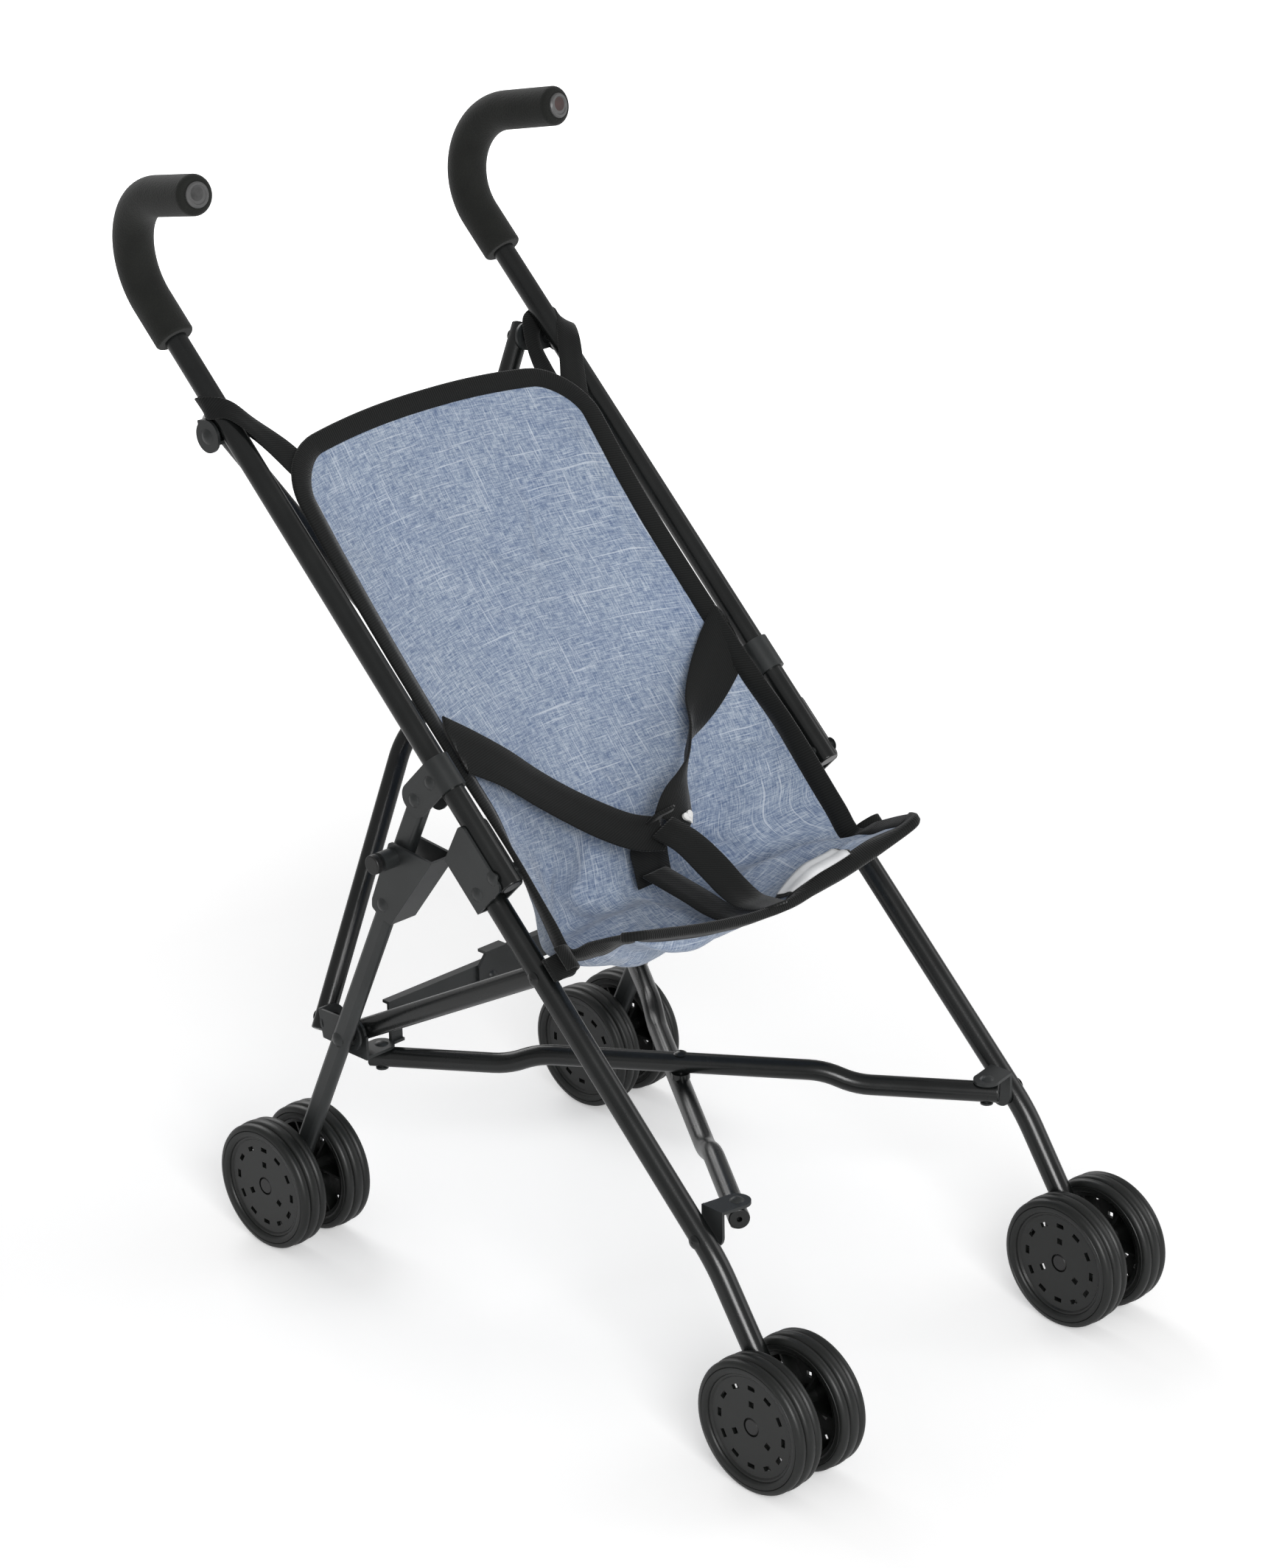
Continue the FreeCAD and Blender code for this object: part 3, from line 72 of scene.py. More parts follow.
Socket = bpy.types.NodeSocket
Material = bpy.types.Material
Piece = bpy.types.Object
MERGE = 0.00002


def held(value: float, low: float = 0.0, high: float = 1.0) -> float:
    """Returns a value kept between two limits."""
    return min(max(value, low), high)


def middle(node: str) -> Vector:
    """Returns the centre of a frame node's box.

    Args:
        node: name of the frame node.

    Returns:
        The centre in metres.
    """
    low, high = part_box(node)
    return (low + high) * 0.5


AXLE = middle("axle_front_right")
KNEE = Vector(next(j["pos_m"] for j in frame["joints"] if j["name"] == "knee_right"))


def spot(across: float, back: float, up: float) -> Vector:
    """Turns millimetres behind the front axle and above the floor into the frame's metres.

    Args:
        across: distance to the stroller's left of its middle.
        back: distance behind the front axle.
        up: height above the floor.

    Returns:
        The point in metres.
    """
    return Vector((across / 1000.0, AXLE.y + back / 1000.0, up / 1000.0))


@dataclass(frozen=True)
class HandleLine:
    """The straight line of the handles, from the knee pivots up to the grips."""

    rise: float = 43.3

    def point(self, across: float, along: float, out: float) -> Vector:
        """Returns a point beside the handles.

        Args:
            across: millimetres to the left of the middle.
            along: millimetres up the handle from the knee pivot.
            out: millimetres square to the handle, to the front and up.

        Returns:
            The point in metres.
        """
        turn = math.radians(self.rise)
        back = along * math.cos(turn) - out * math.sin(turn)
        up = along * math.sin(turn) + out * math.cos(turn)
        return Vector((across / 1000.0, KNEE.y + back / 1000.0, KNEE.z + up / 1000.0))

    def out(self) -> Vector:
        """Returns the unit direction square to the handle, to the front and up."""
        turn = math.radians(self.rise)
        return Vector((0.0, -math.sin(turn), math.cos(turn)))


LINE = HandleLine()


class Curve3:
    """A smooth line through a few chosen points."""

    def __init__(self, points: Sequence[Vector]) -> None:
        """Keeps the points that the line passes through."""
        self.points = [Vector(p) for p in points]

    def at(self, share: float) -> Vector:
        """Returns the point at a share of the way, from 0 to 1, counted in spans."""
        spans = len(self.points) - 1
        place = held(share) * spans
        index = min(int(place), spans - 1)
        local = place - index
        before = self.points[index - 1] if index else self.points[0] * 2.0 - self.points[1]
        one, two = self.points[index], self.points[index + 1]
        after = self.points[index + 2] if index + 2 <= spans else two * 2.0 - one
        square, cube = local * local, local * local * local
        return 0.5 * (one * 2.0 + (two - before) * local
                      + (before * 2.0 - one * 5.0 + two * 4.0 - after) * square
                      + (one * 3.0 - before - two * 3.0 + after) * cube)


# ---------------------------------------------------------------- finishes


class Nodes:
    """Short calls for a node tree."""

    def __init__(self, tree: bpy.types.NodeTree) -> None:
        """Keeps the tree that the nodes are added to."""
        self.tree = tree

    def add(self, kind: str, values: dict | None = None, **settings: object) -> bpy.types.Node:
        """Adds a node.

        Args:
            kind: the node's type name.
            values: input sockets by name or number, and their values.
            settings: attributes of the node.

        Returns:
            The node.
        """
        node = self.tree.nodes.new(kind)
        for name, value in settings.items():
            setattr(node, name, value)
        for key, value in (values or {}).items():
            node.inputs[key].default_value = value
        return node

    def link(self, source: Socket, target: Socket) -> None:
        """Joins two sockets."""
        self.tree.links.new(source, target)

    def mapped(self, scale: Point, output: str = "Object", turn: float = 0.0,
               shift: Point = (0.0, 0.0, 0.0)) -> Socket:
        """Returns scaled coordinates.

        Args:
            scale: repeats per metre along each axis.
            output: which texture coordinate is read.
            turn: turn about the third axis, in degrees.
            shift: added to the coordinates.

        Returns:
            The socket that gives the coordinates.
        """
        source = self.add("ShaderNodeTexCoord")
        mapping = self.add("ShaderNodeMapping",
                           {"Scale": scale, "Rotation": (0, 0, math.radians(turn)),
                            "Location": shift})
        self.link(source.outputs[output], mapping.inputs["Vector"])
        return mapping.outputs["Vector"]

    def noise(self, where: Socket, detail: float, rough: float = 0.5) -> Socket:
        """Returns a noise value over coordinates that are already scaled."""
        node = self.add("ShaderNodeTexNoise",
                        {"Scale": 1.0, "Detail": detail, "Roughness": rough})
        self.link(where, node.inputs["Vector"])
        return node.outputs["Fac"]

    def cloud(self, repeats: float, detail: float = 3.0) -> Socket:
        """Returns noise that repeats so often per metre in every direction."""
        return self.noise(self.mapped((repeats,) * 3), detail)

    def ramp(self, value: Socket, stops: Sequence[tuple[float, Point]]) -> Socket:
        """Returns a colour ramp of a value.

        Args:
            value: the socket that drives the ramp.
            stops: places from 0 to 1 and their colours.

        Returns:
            The ramp's colour.
        """
        node = self.add("ShaderNodeValToRGB")
        ramp = node.color_ramp
        while len(ramp.elements) < len(stops):
            ramp.elements.new(0.5)
        for element, (place, colour) in zip(ramp.elements, stops):
            element.position = place
            element.color = (*colour, 1.0)
        self.link(value, node.inputs["Fac"])
        return node.outputs["Color"]

    def tinted(self, value: Socket, colour: Point, tones: tuple[float, float],
               stops: tuple[float, float] = (0.3, 0.7)) -> Socket:
        """Returns a colour that runs from a darker to a lighter tone with a value."""
        return self.ramp(value, [(stop, tuple(c * tone for c in colour))
                                 for stop, tone in zip(stops, tones)])

    def mix(self, share: Socket | float, one: object, two: object,
            blend: str = "MIX") -> Socket:
        """Returns a mix of two colours."""
        node = self.add("ShaderNodeMix", data_type="RGBA", blend_type=blend)
        for index, value in ((0, share), (6, one), (7, two)):
            if isinstance(value, Socket):
                self.link(value, node.inputs[index])
            elif index:
                node.inputs[index].default_value = (*value, 1.0)
            else:
                node.inputs[index].default_value = value
        return node.outputs[2]

    def math(self, kind: str, one: object, two: object, clamp: bool = False) -> Socket:
        """Returns the result of a Math node."""
        node = self.add("ShaderNodeMath", operation=kind, use_clamp=clamp)
        for index, value in ((0, one), (1, two)):
            if isinstance(value, Socket):
                self.link(value, node.inputs[index])
            else:
                node.inputs[index].default_value = value
        return node.outputs[0]

    def bump(self, height: Socket, strength: float, depth: float,
             under: Socket | None = None) -> Socket:
        """Returns a normal bumped by a height.

        Args:
            height: the height's socket.
            strength: how strongly it shows.
            depth: the height's size in metres.
            under: an earlier normal to add to.

        Returns:
            The normal's socket.
        """
        node = self.add("ShaderNodeBump", {"Strength": strength, "Distance": depth})
        self.link(height, node.inputs["Height"])
        if under is not None:
            self.link(under, node.inputs["Normal"])
        return node.outputs["Normal"]


class Skin(Nodes):
    """A new material with a Principled surface."""

    def __init__(self, name: str) -> None:
        """Starts the material.

        Args:
            name: the material's name.
        """
        self.material = bpy.data.materials.new(name)
        self.material.use_nodes = True
        super().__init__(self.material.node_tree)
        self.tree.nodes.clear()
        out = self.add("ShaderNodeOutputMaterial")
        self.surface = self.add("ShaderNodeBsdfPrincipled")
        self.link(self.surface.outputs[0], out.inputs[0])

    def finish(self, colour: object, roughness: object, normal: object = None,
               **constants: float) -> Material:
        """Sets the surface and returns the material.

        Args:
            colour: base colour, a socket or a tuple.
            roughness: roughness, a socket or a number.
            normal: normal socket, or None.
            constants: other inputs by name, with _ for a space.

        Returns:
            The finished material.
        """
        for name, value in (("Base Color", colour), ("Roughness", roughness),
                            ("Normal", normal)):
            if isinstance(value, Socket):
                self.link(value, self.surface.inputs[name])
            elif value is not None:
                self.surface.inputs[name].default_value = \
                    (*value, 1.0) if isinstance(value, tuple) else value
        for name, value in constants.items():
            self.surface.inputs[name.replace("_", " ")].default_value = value
        return self.material


@dataclass(frozen=True)
class Coat:
    """Powder coat, moulded plastic or rubber: cloudy colour, uneven gloss, fine grain.

    Attributes:
        name: the material's name.
        colour: its middle colour.
        roughness: its middle roughness.
        grain: repeats of the grain per metre.
        depth: the grain's depth in metres.
        specular: how strongly it reflects.
        clouds: repeats of the clouds per metre.
        tones: how dark and how light the clouds make the colour.
        gloss: how far the clouds move the roughness.
        relief: how strongly the grain shows.
    """

    name: str
    colour: Point
    roughness: float
    grain: float = 900.0
    depth: float = 0.00004
    specular: float = 0.5
    clouds: float = 60.0
    tones: tuple[float, float] = (0.85, 1.2)
    gloss: float = 0.14
    relief: float = 0.4

    def material(self) -> Material:
        """Builds the material."""
        kit = Skin(self.name)
        cloud, speck = kit.cloud(self.clouds), kit.cloud(self.grain, 2.0)
        rough = kit.math("ADD", kit.math("MULTIPLY", cloud, self.gloss),
                         self.roughness - self.gloss * 0.5)
        return kit.finish(kit.tinted(cloud, self.colour, self.tones), rough,
                          kit.bump(speck, self.relief, self.depth),
                          Specular_IOR_Level=self.specular)


def powder_coat(name: str, colour: Point, roughness: float) -> Material:
    """Returns the satin powder coat of the steel, with its fine orange-peel skin."""
    return Coat(name, colour, roughness, grain=1500.0, clouds=38.0, tones=(0.8, 1.25),
                gloss=0.16, relief=0.5).material()


@dataclass(frozen=True)
class FoamSkin:
    """Matt closed-cell foam of the grips, with fine cells over soft dents."""

    colour: Point = (0.0052, 0.0059, 0.0047)

    def material(self) -> Material:
        """Builds the material."""
        kit = Skin("grip foam")
        cells = kit.add("ShaderNodeTexVoronoi", {"Scale": 1.0}, feature="F1")
        kit.link(kit.mapped((1100.0,) * 3), cells.inputs["Vector"])
        cloud = kit.cloud(90.0, 4.0)
        coarse = kit.bump(cloud, 0.25, 0.0004)
        return kit.finish(kit.tinted(cloud, self.colour, (0.75, 1.5), (0.25, 0.75)), 0.85,
                          kit.bump(cells.outputs["Distance"], 0.6, 0.00018, coarse),
                          Specular_IOR_Level=0.35, Sheen_Weight=0.12, Sheen_Roughness=0.5)


@dataclass(frozen=True)
class CapPlastic:
    """A grip's end cap: a dished disc with a paler rim round it.

    Attributes:
        name: the material's name.
        centre: the cap's middle in metres.
        disc: the disc's colour.
        rim: the rim's colour.
        radius: the disc's radius in metres.
    """

    name: str
    centre: Point
    disc: Point
    rim: Point = (0.09, 0.09, 0.09)
    radius: float = 0.0049

    def material(self) -> Material:
        """Builds the material."""
        kit = Skin(self.name)
        away = kit.add("ShaderNodeVectorMath", operation="DISTANCE")
        source = kit.add("ShaderNodeTexCoord")
        kit.link(source.outputs["Object"], away.inputs[0])
        away.inputs[1].default_value = self.centre
        ring = kit.math("GREATER_THAN", away.outputs["Value"], self.radius)
        disc = kit.tinted(kit.cloud(300.0), self.disc, (0.7, 1.3))
        return kit.finish(kit.mix(ring, disc, self.rim), 0.38)


@dataclass(frozen=True)
class Denim:
    """Blue melange cloth with pale slub threads along warp and weft.

    Attributes:
        deep: colour of the darkest fibres.
        base: the cloth's middle colour.
        pale: colour of the palest fibres.
        slub: colour of the slub threads.
        slubs: repeats per metre across and along, slant in degrees, the noise values at
            which a thread starts to show and shows fully, and a shift of the pattern.
    """

    deep: Point = (0.125, 0.175, 0.285)
    base: Point = (0.255, 0.315, 0.420)
    pale: Point = (0.43, 0.49, 0.57)
    slub: Point = (0.62, 0.67, 0.74)
    slubs: tuple[tuple[float, ...], ...] = (
        (900.0, 20.0, 2.0, 0.66, 0.73, 0.0), (18.0, 850.0, -2.5, 0.66, 0.73, 7.3),
        (1500.0, 60.0, -1.0, 0.64, 0.74, 3.1), (55.0, 1400.0, 1.5, 0.64, 0.74, 5.7))

    def threads(self, kit: Nodes) -> Socket:
        """Returns the mask of the long thin slub threads."""
        marks = None
        for wide, tall, turn, low, high, shift in self.slubs:
            grain = kit.noise(kit.mapped((wide, tall, 1.0), "UV", turn, (shift, shift, 0.0)),
                              1.0, 0.4)
            mask = kit.add("ShaderNodeMapRange", {"From Min": low, "From Max": high})
            kit.link(grain, mask.inputs["Value"])
            shown = mask.outputs["Result"]
            marks = shown if marks is None else kit.math("MAXIMUM", marks, shown)
        return marks

    def material(self) -> Material:
        """Builds the material."""
        kit = Skin("blue melange cloth")
        warp = kit.noise(kit.mapped((1500.0, 190.0, 1.0), "UV", 1.0), 3.0, 0.7)
        weft = kit.noise(kit.mapped((170.0, 1400.0, 1.0), "UV", -1.0), 3.0, 0.7)
        melange = kit.math("MULTIPLY", kit.math("ADD", warp, weft), 0.5)
        colour = kit.ramp(melange, [(0.40, self.deep), (0.50, self.base), (0.60, self.pale)])
        broad = kit.noise(kit.mapped((26.0, 26.0, 1.0), "UV"), 3.0)
        shade = kit.ramp(broad, [(0.25, (0.86, 0.88, 0.93)), (0.75, (1.1, 1.08, 1.05))])
        colour = kit.mix(1.0, colour, shade, "MULTIPLY")
        marks = self.threads(kit)
        colour = kit.mix(kit.math("MULTIPLY", marks, 0.6, clamp=True), colour, self.slub)
        height = kit.math("ADD", melange, kit.math("MULTIPLY", marks, 0.35))
        return kit.finish(colour, 0.86, kit.bump(height, 0.55, 0.00022),
                          Specular_IOR_Level=0.2, Sheen_Weight=0.18, Sheen_Roughness=0.45)


@dataclass(frozen=True)
class Tape:
    """Black woven tape with raised ribs.

    Attributes:
        name: the material's name.
        pitch: distance from rib to rib, in metres.
        slant: the ribs' slant in degrees.
        depth: the ribs' depth in metres.
        colour: its middle colour.
    """

    name: str
    pitch: float
    slant: float = 0.0
    depth: float = 0.00022
    colour: Point = (0.0038, 0.0042, 0.0041)

    def material(self) -> Material:
        """Builds the material."""
        kit = Skin(self.name)
        wave = kit.add("ShaderNodeTexWave", {"Scale": 1.0, "Distortion": 0.6, "Detail": 1.0},
                       wave_type="BANDS", bands_direction="Y")
        repeat = math.tau / (20.0 * self.pitch)  # the wave node repeats every tau / 20
        kit.link(kit.mapped((repeat, repeat, 1.0), "UV", self.slant), wave.inputs["Vector"])
        fluff = kit.noise(kit.mapped((1500.0, 1500.0, 1.0), "UV"), 3.0, 0.7)
        mixed = kit.math("ADD", kit.math("MULTIPLY", wave.outputs["Fac"], 0.6),
                         kit.math("MULTIPLY", fluff, 0.5))
        return kit.finish(kit.tinted(mixed, self.colour, (0.6, 2.4), (0.2, 0.9)), 0.8,
                          kit.bump(mixed, 0.7, self.depth),
                          Specular_IOR_Level=0.25, Sheen_Weight=0.15, Sheen_Roughness=0.4)


class Slot(Enum):
    """The record's material slots that this scene finishes."""

    BLACK = "black_steel"
    GREY = "grey_steel"
    AXLE = "axle"
    FOAM = "foam"
    CAP = "cap"
    BUTTON = "button"
    WHEEL = "wheel"
    TYRE = "tyre"
    SEAT = "seat_fabric"
    WEBBING = "webbing"
    STUD = "stud"


# ---------------------------------------------------------------- mesh making


def clear_choice() -> None:
    """Leaves object mode and deselects everything."""
    if bpy.context.object and bpy.context.object.mode != "OBJECT":
        bpy.ops.object.mode_set(mode="OBJECT")
    bpy.ops.object.select_all(action="DESELECT")


def choose(piece: Piece) -> None:
    """Makes a piece the only selected and the active one."""
    clear_choice()
    piece.select_set(True)
    bpy.context.view_layer.objects.active = piece


def seat_mesh(piece: Piece) -> Piece:
    """Puts a piece's place into its mesh and its object at the origin."""
    bpy.context.view_layer.update()
    piece.data.transform(piece.matrix_world)
    piece.matrix_world = Matrix.Identity(4)
    return piece


def placed(name: str, data: bpy.types.ID) -> Piece:
    """Puts a new object with this data into the scene."""
    piece = bpy.data.objects.new(name, data)
    bpy.context.scene.collection.objects.link(piece)
    return piece


def paint(piece: Piece, material: Material) -> None:
    """Leaves a piece with this one finish."""
    piece.data.materials.clear()
    piece.data.materials.append(material)


def dress(piece: Piece, material: Material, body: str) -> Piece:
    """Gives a piece its finish and the body that it rides on.

    Args:
        piece: the new piece.
        material: its finish.
        body: the frame body's name.

    Returns:
        The piece.
    """
    paint(piece, material)
    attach(piece, body)
    LOG.info("%s rides on %s", piece.name, body)
    return piece


def mesh_piece(name: str, points: Sequence[Vector], faces: Sequence[Sequence[int]],
               flat: Sequence[Flat]) -> Piece:
    """Makes a smooth piece from points, faces and each point's flat place.

    Args:
        name: the piece's name.
        points: its points in metres.
        faces: its faces as point numbers.
        flat: each point's place on the flat cloth, in metres.

    Returns:
        The piece.
    """
    mesh = bpy.data.meshes.new(name)
    mesh.from_pydata([tuple(p) for p in points], [], [tuple(f) for f in faces])
    layer = mesh.uv_layers.new(name="flat")
    for loop in mesh.loops:
        layer.data[loop.index].uv = flat[loop.vertex_index]
    mesh.validate()
    for polygon in mesh.polygons:
        polygon.use_smooth = True
    return placed(name, mesh)


def outward(piece: Piece) -> None:
    """Turns a closed piece's faces outwards."""
    work = bmesh.new()
    work.from_mesh(piece.data)
    bmesh.ops.recalc_face_normals(work, faces=work.faces)
    if work.calc_volume(signed=True) < 0:
        bmesh.ops.reverse_faces(work, faces=work.faces)
    work.to_mesh(piece.data)
    work.free()


@contextmanager
def editing() -> Iterator[None]:
    """Edits the active piece with everything chosen, then goes back to object mode."""
    bpy.ops.object.mode_set(mode="EDIT")
    bpy.ops.mesh.select_all(action="SELECT")
    yield
    bpy.ops.object.mode_set(mode="OBJECT")


def thicken(piece: Piece, thick: float) -> None:
    """Gives an open piece its thickness, half of it on each side."""
    choose(piece)
    solid = piece.modifiers.new("thickness", "SOLIDIFY")
    solid.thickness, solid.offset = thick, 0.0
    bpy.ops.object.modifier_apply(modifier="thickness")


def grid_faces(rows: int, columns: int) -> list[tuple[int, ...]]:
    """Returns the faces of a grid whose points are listed row by row."""
    wide = columns + 1
    return [(one, one + wide, one + wide + 1, one + 1)
            for row in range(rows) for one in range(row * wide, row * wide + columns)]


def swept(name: str, rings: Sequence[Sequence[Vector]], flat: Sequence[Flat]) -> Piece:
    """Makes a closed piece from rings of points.

    Args:
        name: the piece's name.
        rings: rings of equally many points, in order along the piece.
        flat: each point's place on the flat tape, in metres.

    Returns:
        The piece.
    """
    ring = len(rings[0])
    last = (len(rings) - 1) * ring
    faces = [(one + step, one + turn, one + ring + turn, one + ring + step)
             for one in range(0, last, ring)
             for step, turn in ((i, (i + 1) % ring) for i in range(ring))]
    faces += [tuple(range(ring)), tuple(range(last, last + ring))[::-1]]
    piece = mesh_piece(name, [point for points in rings for point in points], faces, flat)
    outward(piece)
    return piece


@dataclass
class Ribbon:
    """A flat band swept along a line: tape, webbing or tab.

    Attributes:
        name: the piece's name.
        line: points through the middle of the band, in metres.
        face: direction that the band's face looks to, at each point.
        width: the band's width in metres at each point.
        thick: its thickness in metres.
        samples: points along it.
        limit: its ends are cut square to X at this distance from the middle, in metres.
    """

    name: str
    line: list[Vector]
    face: list[Vector]
    width: list[float]
    thick: float
    samples: int
    limit: float = 1.0

    def section(self, wide: float) -> list[Flat]:
        """Returns the band's cross-section as (across, up) pairs."""
        half, rise, edge = wide * 0.5, self.thick * 0.5, self.thick * 0.35
        top = [(half, edge * 0.4), (half - edge, rise), (half * 0.35, rise),
               (-half * 0.35, rise), (-half + edge, rise), (-half, edge * 0.4)]
        return top + [(across, -up) for across, up in reversed(top)]

    def build(self) -> Piece:
        """Makes the band."""
        line, facing = Curve3(self.line), Curve3(self.face)
        widths = Curve3([Vector((wide, 0.0, 0.0)) for wide in self.width])
        last = self.samples - 1
        spots = [line.at(i / last) for i in range(self.samples)]
        rings, flat, run = [], [], 0.0
        for index, here in enumerate(spots):
            before, after = spots[max(index - 1, 0)], spots[min(index + 1, last)]
            run += (here - before).length
            ahead = (after - before).normalized()
            across = ahead.cross(facing.at(index / last)).normalized()
            up = across.cross(ahead).normalized()
            ring = []
            for side, rise in self.section(widths.at(index / last).x):
                point = here + across * side + up * rise
                past = abs(point.x) - self.limit
                if past > 0.0:
                    point -= ahead * (math.copysign(past, point.x) / ahead.x)
                ring.append(point)
                flat.append((side, run))
            rings.append(ring)
        return swept(self.name, rings, flat)


# ---------------------------------------------------------------- seat


@dataclass
class Fold:
    """A soft crease of the cloth, between two places given as shares across and along."""

    start: Flat
    end: Flat
    wide: float
    lift: float

    def height(self, here: Flat, start: Flat, end: Flat) -> float:
        """Returns the crease's height at a place; every place is in flat millimetres."""
        run = (end[0] - start[0], end[1] - start[1])
        size = run[0] * run[0] + run[1] * run[1]
        share = ((here[0] - start[0]) * run[0] + (here[1] - start[1]) * run[1]) / size
        near = held(share)
        away = math.hypot(here[0] - start[0] - run[0] * near, here[1] - start[1] - run[1] * near)
        fade = math.sin(math.pi * held(share * 0.9 + 0.05)) ** 0.5
        return self.lift * fade * math.exp(-(away / self.wide) ** 2)


def between(table: Sequence[tuple[float, ...]], place: float, column: int) -> float:
    """Returns a column of a table, eased between its rows, at a place in column 0."""
    for one, two in zip(table, table[1:]):
        if place <= two[0]:
            share = (place - one[0]) / (two[0] - one[0])
            share = share * share * (3.0 - 2.0 * share)
            return one[column] + (two[column] - one[column]) * share
    return table[-1][column]


@dataclass
class Seat:
    """The sling: one cloth from the top edge down the back and out to the front edge.

    Attributes:
        half: half of its width, in millimetres.
        corners: radii of the top corners and of the front tips, in millimetres.
        rows: rows of faces down the cloth.
        columns: columns of faces across it.
        steps: steps along which its run is measured.
        thick: its thickness in metres.
        rim: the cloth's sides, from the top to the front tips.
        keel: its middle line, from the top to the front edge.
        full: share along, and how square the section is on the right and on the left.
        taut: share along, and how far the left half of the pan is pulled up.
        drift: share along, and how far the cloth is shifted to the left and narrowed.
        folds: its creases.
        uneven: repeats per millimetre across and along, a shift and a height in
            millimetres, for each layer of its slight unevenness.
        tapes: each tape's name, how far it reaches onto the cloth in millimetres, and
            how plump its folded edge is.
        patch: two corners of the bare patch, as shares across and along.
    """

    half: float = 96.4
    corners: tuple[float, float] = (27.0, 9.0)
    rows: int = 190
    columns: int = 110
    steps: int = 400
    thick: float = 0.0009
    rim: Curve3 = field(default_factory=lambda: Curve3([Vector((0.0, b, u)) for b, u in (
        (334.0, 400.5), (280.0, 345.0), (214.6, 280.5), (179.7, 248.5), (153.0, 221.5),
        (141.5, 210.5), (128.0, 218.0), (114.0, 225.0), (99.0, 231.5))]))
    keel: Curve3 = field(default_factory=lambda: Curve3([Vector((0.0, b, u)) for b, u in (
        (345.0, 407.0), (296.0, 346.0), (240.0, 280.0), (203.0, 234.0), (187.0, 197.0),
        (160.0, 193.5), (130.0, 196.5), (114.0, 205.0), (101.5, 213.3))]))
    full: tuple = ((0.0, 2.0, 2.6), (0.3, 2.2, 3.0), (0.45, 6.0, 3.6), (0.62, 16.0, 4.6),
                   (0.76, 7.0, 3.6), (0.88, 3.0, 2.8), (1.0, 1.5, 2.2))
    taut: tuple = ((0.0, 0.0), (0.48, 0.0), (0.62, 6.5), (0.75, 12.0), (0.84, 13.5),
                   (0.92, 10.0), (1.0, 0.0))
    drift: tuple = ((0.0, -1.0, 0.0), (0.13, -3.0, 1.0), (0.34, 0.0, 0.0), (1.0, 0.0, 0.0))
    folds: tuple[Fold, ...] = (
        Fold((1.0, 0.30), (0.10, 0.60), 22.0, -11.5),
        Fold((0.90, 0.21), (0.05, 0.34), 22.0, -4.5),
        Fold((0.1, 0.16), (-0.7, 0.30), 26.0, 3.4),
        Fold((0.97, 0.27), (0.84, 0.42), 9.0, -6.1),
        Fold((0.80, 0.36), (0.60, 0.50), 11.0, 6.0),
        Fold((0.36, 0.44), (0.66, 0.54), 5.0, -5.8),
        Fold((0.55, 0.58), (0.99, 0.64), 6.0, -8.0),
        Fold((0.35, 0.62), (0.95, 0.71), 7.0, 6.5),
        Fold((0.20, 0.70), (0.80, 0.77), 6.0, -5.0),
        Fold((-0.60, 0.44), (-0.24, 0.50), 8.0, -5.8),
        Fold((-0.30, 0.40), (-0.42, 0.50), 8.0, -4.1),
        Fold((-0.86, 0.38), (-0.72, 0.52), 9.0, 4.1),
        Fold((-0.72, 0.58), (-0.08, 0.55), 6.0, 4.4),
        Fold((-0.7, 0.72), (-0.1, 0.64), 7.0, -5.5),
        Fold((-0.9, 0.82), (-0.3, 0.76), 7.0, 5.5),
        Fold((-0.9, 0.93), (-0.35, 0.86), 5.0, -4.0),
        Fold((0.80, 0.03), (0.76, 0.20), 7.0, 3.4),
        Fold((0.42, 0.10), (0.30, 0.15), 4.0, -3.1),
        Fold((-0.55, 0.02), (-0.8, 0.10), 14.0, -2.4))
    uneven: tuple[Place, ...] = ((0.027, 0.014, 0.3, 1.5), (0.07, 0.05, 2.1, 0.5))
    tapes: tuple[tuple[str, float, float], ...] = (("binding_sides", 9.4, 1.15),
                                                   ("binding_front", 8.8, 1.9))
    patch: tuple[Flat, Flat] = ((0.15, 0.855), (0.53, 0.945))

    def __post_init__(self) -> None:
        """Measures the cloth's run from its top edge."""
        self.run = [0.0]
        for step in range(self.steps):
            here, there = step / self.steps, (step + 1) / self.steps
            sides = [(line.at(there) - line.at(here)).length for line in (self.rim, self.keel)]
            self.run.append(self.run[-1] + sum(sides) * 0.5)
        self.creases = [(fold, self.flat(*fold.start), self.flat(*fold.end))
                        for fold in self.folds]

    def flat(self, across: float, along: float) -> Flat:
        """Returns a place on the flat cloth, in millimetres."""
        place = held(along) * self.steps
        index = min(int(place), self.steps - 1)
        down = self.run[index] + (self.run[index + 1] - self.run[index]) * (place - index)
        return across * self.half, down

    def place(self, across: float, along: float) -> Vector:
        """Returns the smooth cloth's point at shares across (-1 to 1) and along (0 to 1)."""
        rim, keel = self.rim.at(along), self.keel.at(along)
        bow = between(self.full, along, 1 if across < 0 else 2)
        blend = rim.lerp(keel, 1.0 - abs(across) ** bow)
        pull = held(across / 0.35) * held((1.0 - across) / 0.4)
        blend.z += between(self.taut, along, 1) * pull * pull * (3.0 - 2.0 * pull)
        half = self.half - between(self.drift, along, 2)
        return spot(across * half + between(self.drift, along, 1), blend.y, blend.z)

    def share(self, down: float) -> float:
        """Returns the share along that lies so many millimetres from the top edge."""
        goal = held(down, 0.0, self.run[-1])
        index = next(i for i in range(self.steps) if self.run[i + 1] >= goal)
        part = (goal - self.run[index]) / (self.run[index + 1] - self.run[index])
        return (index + part) / self.steps

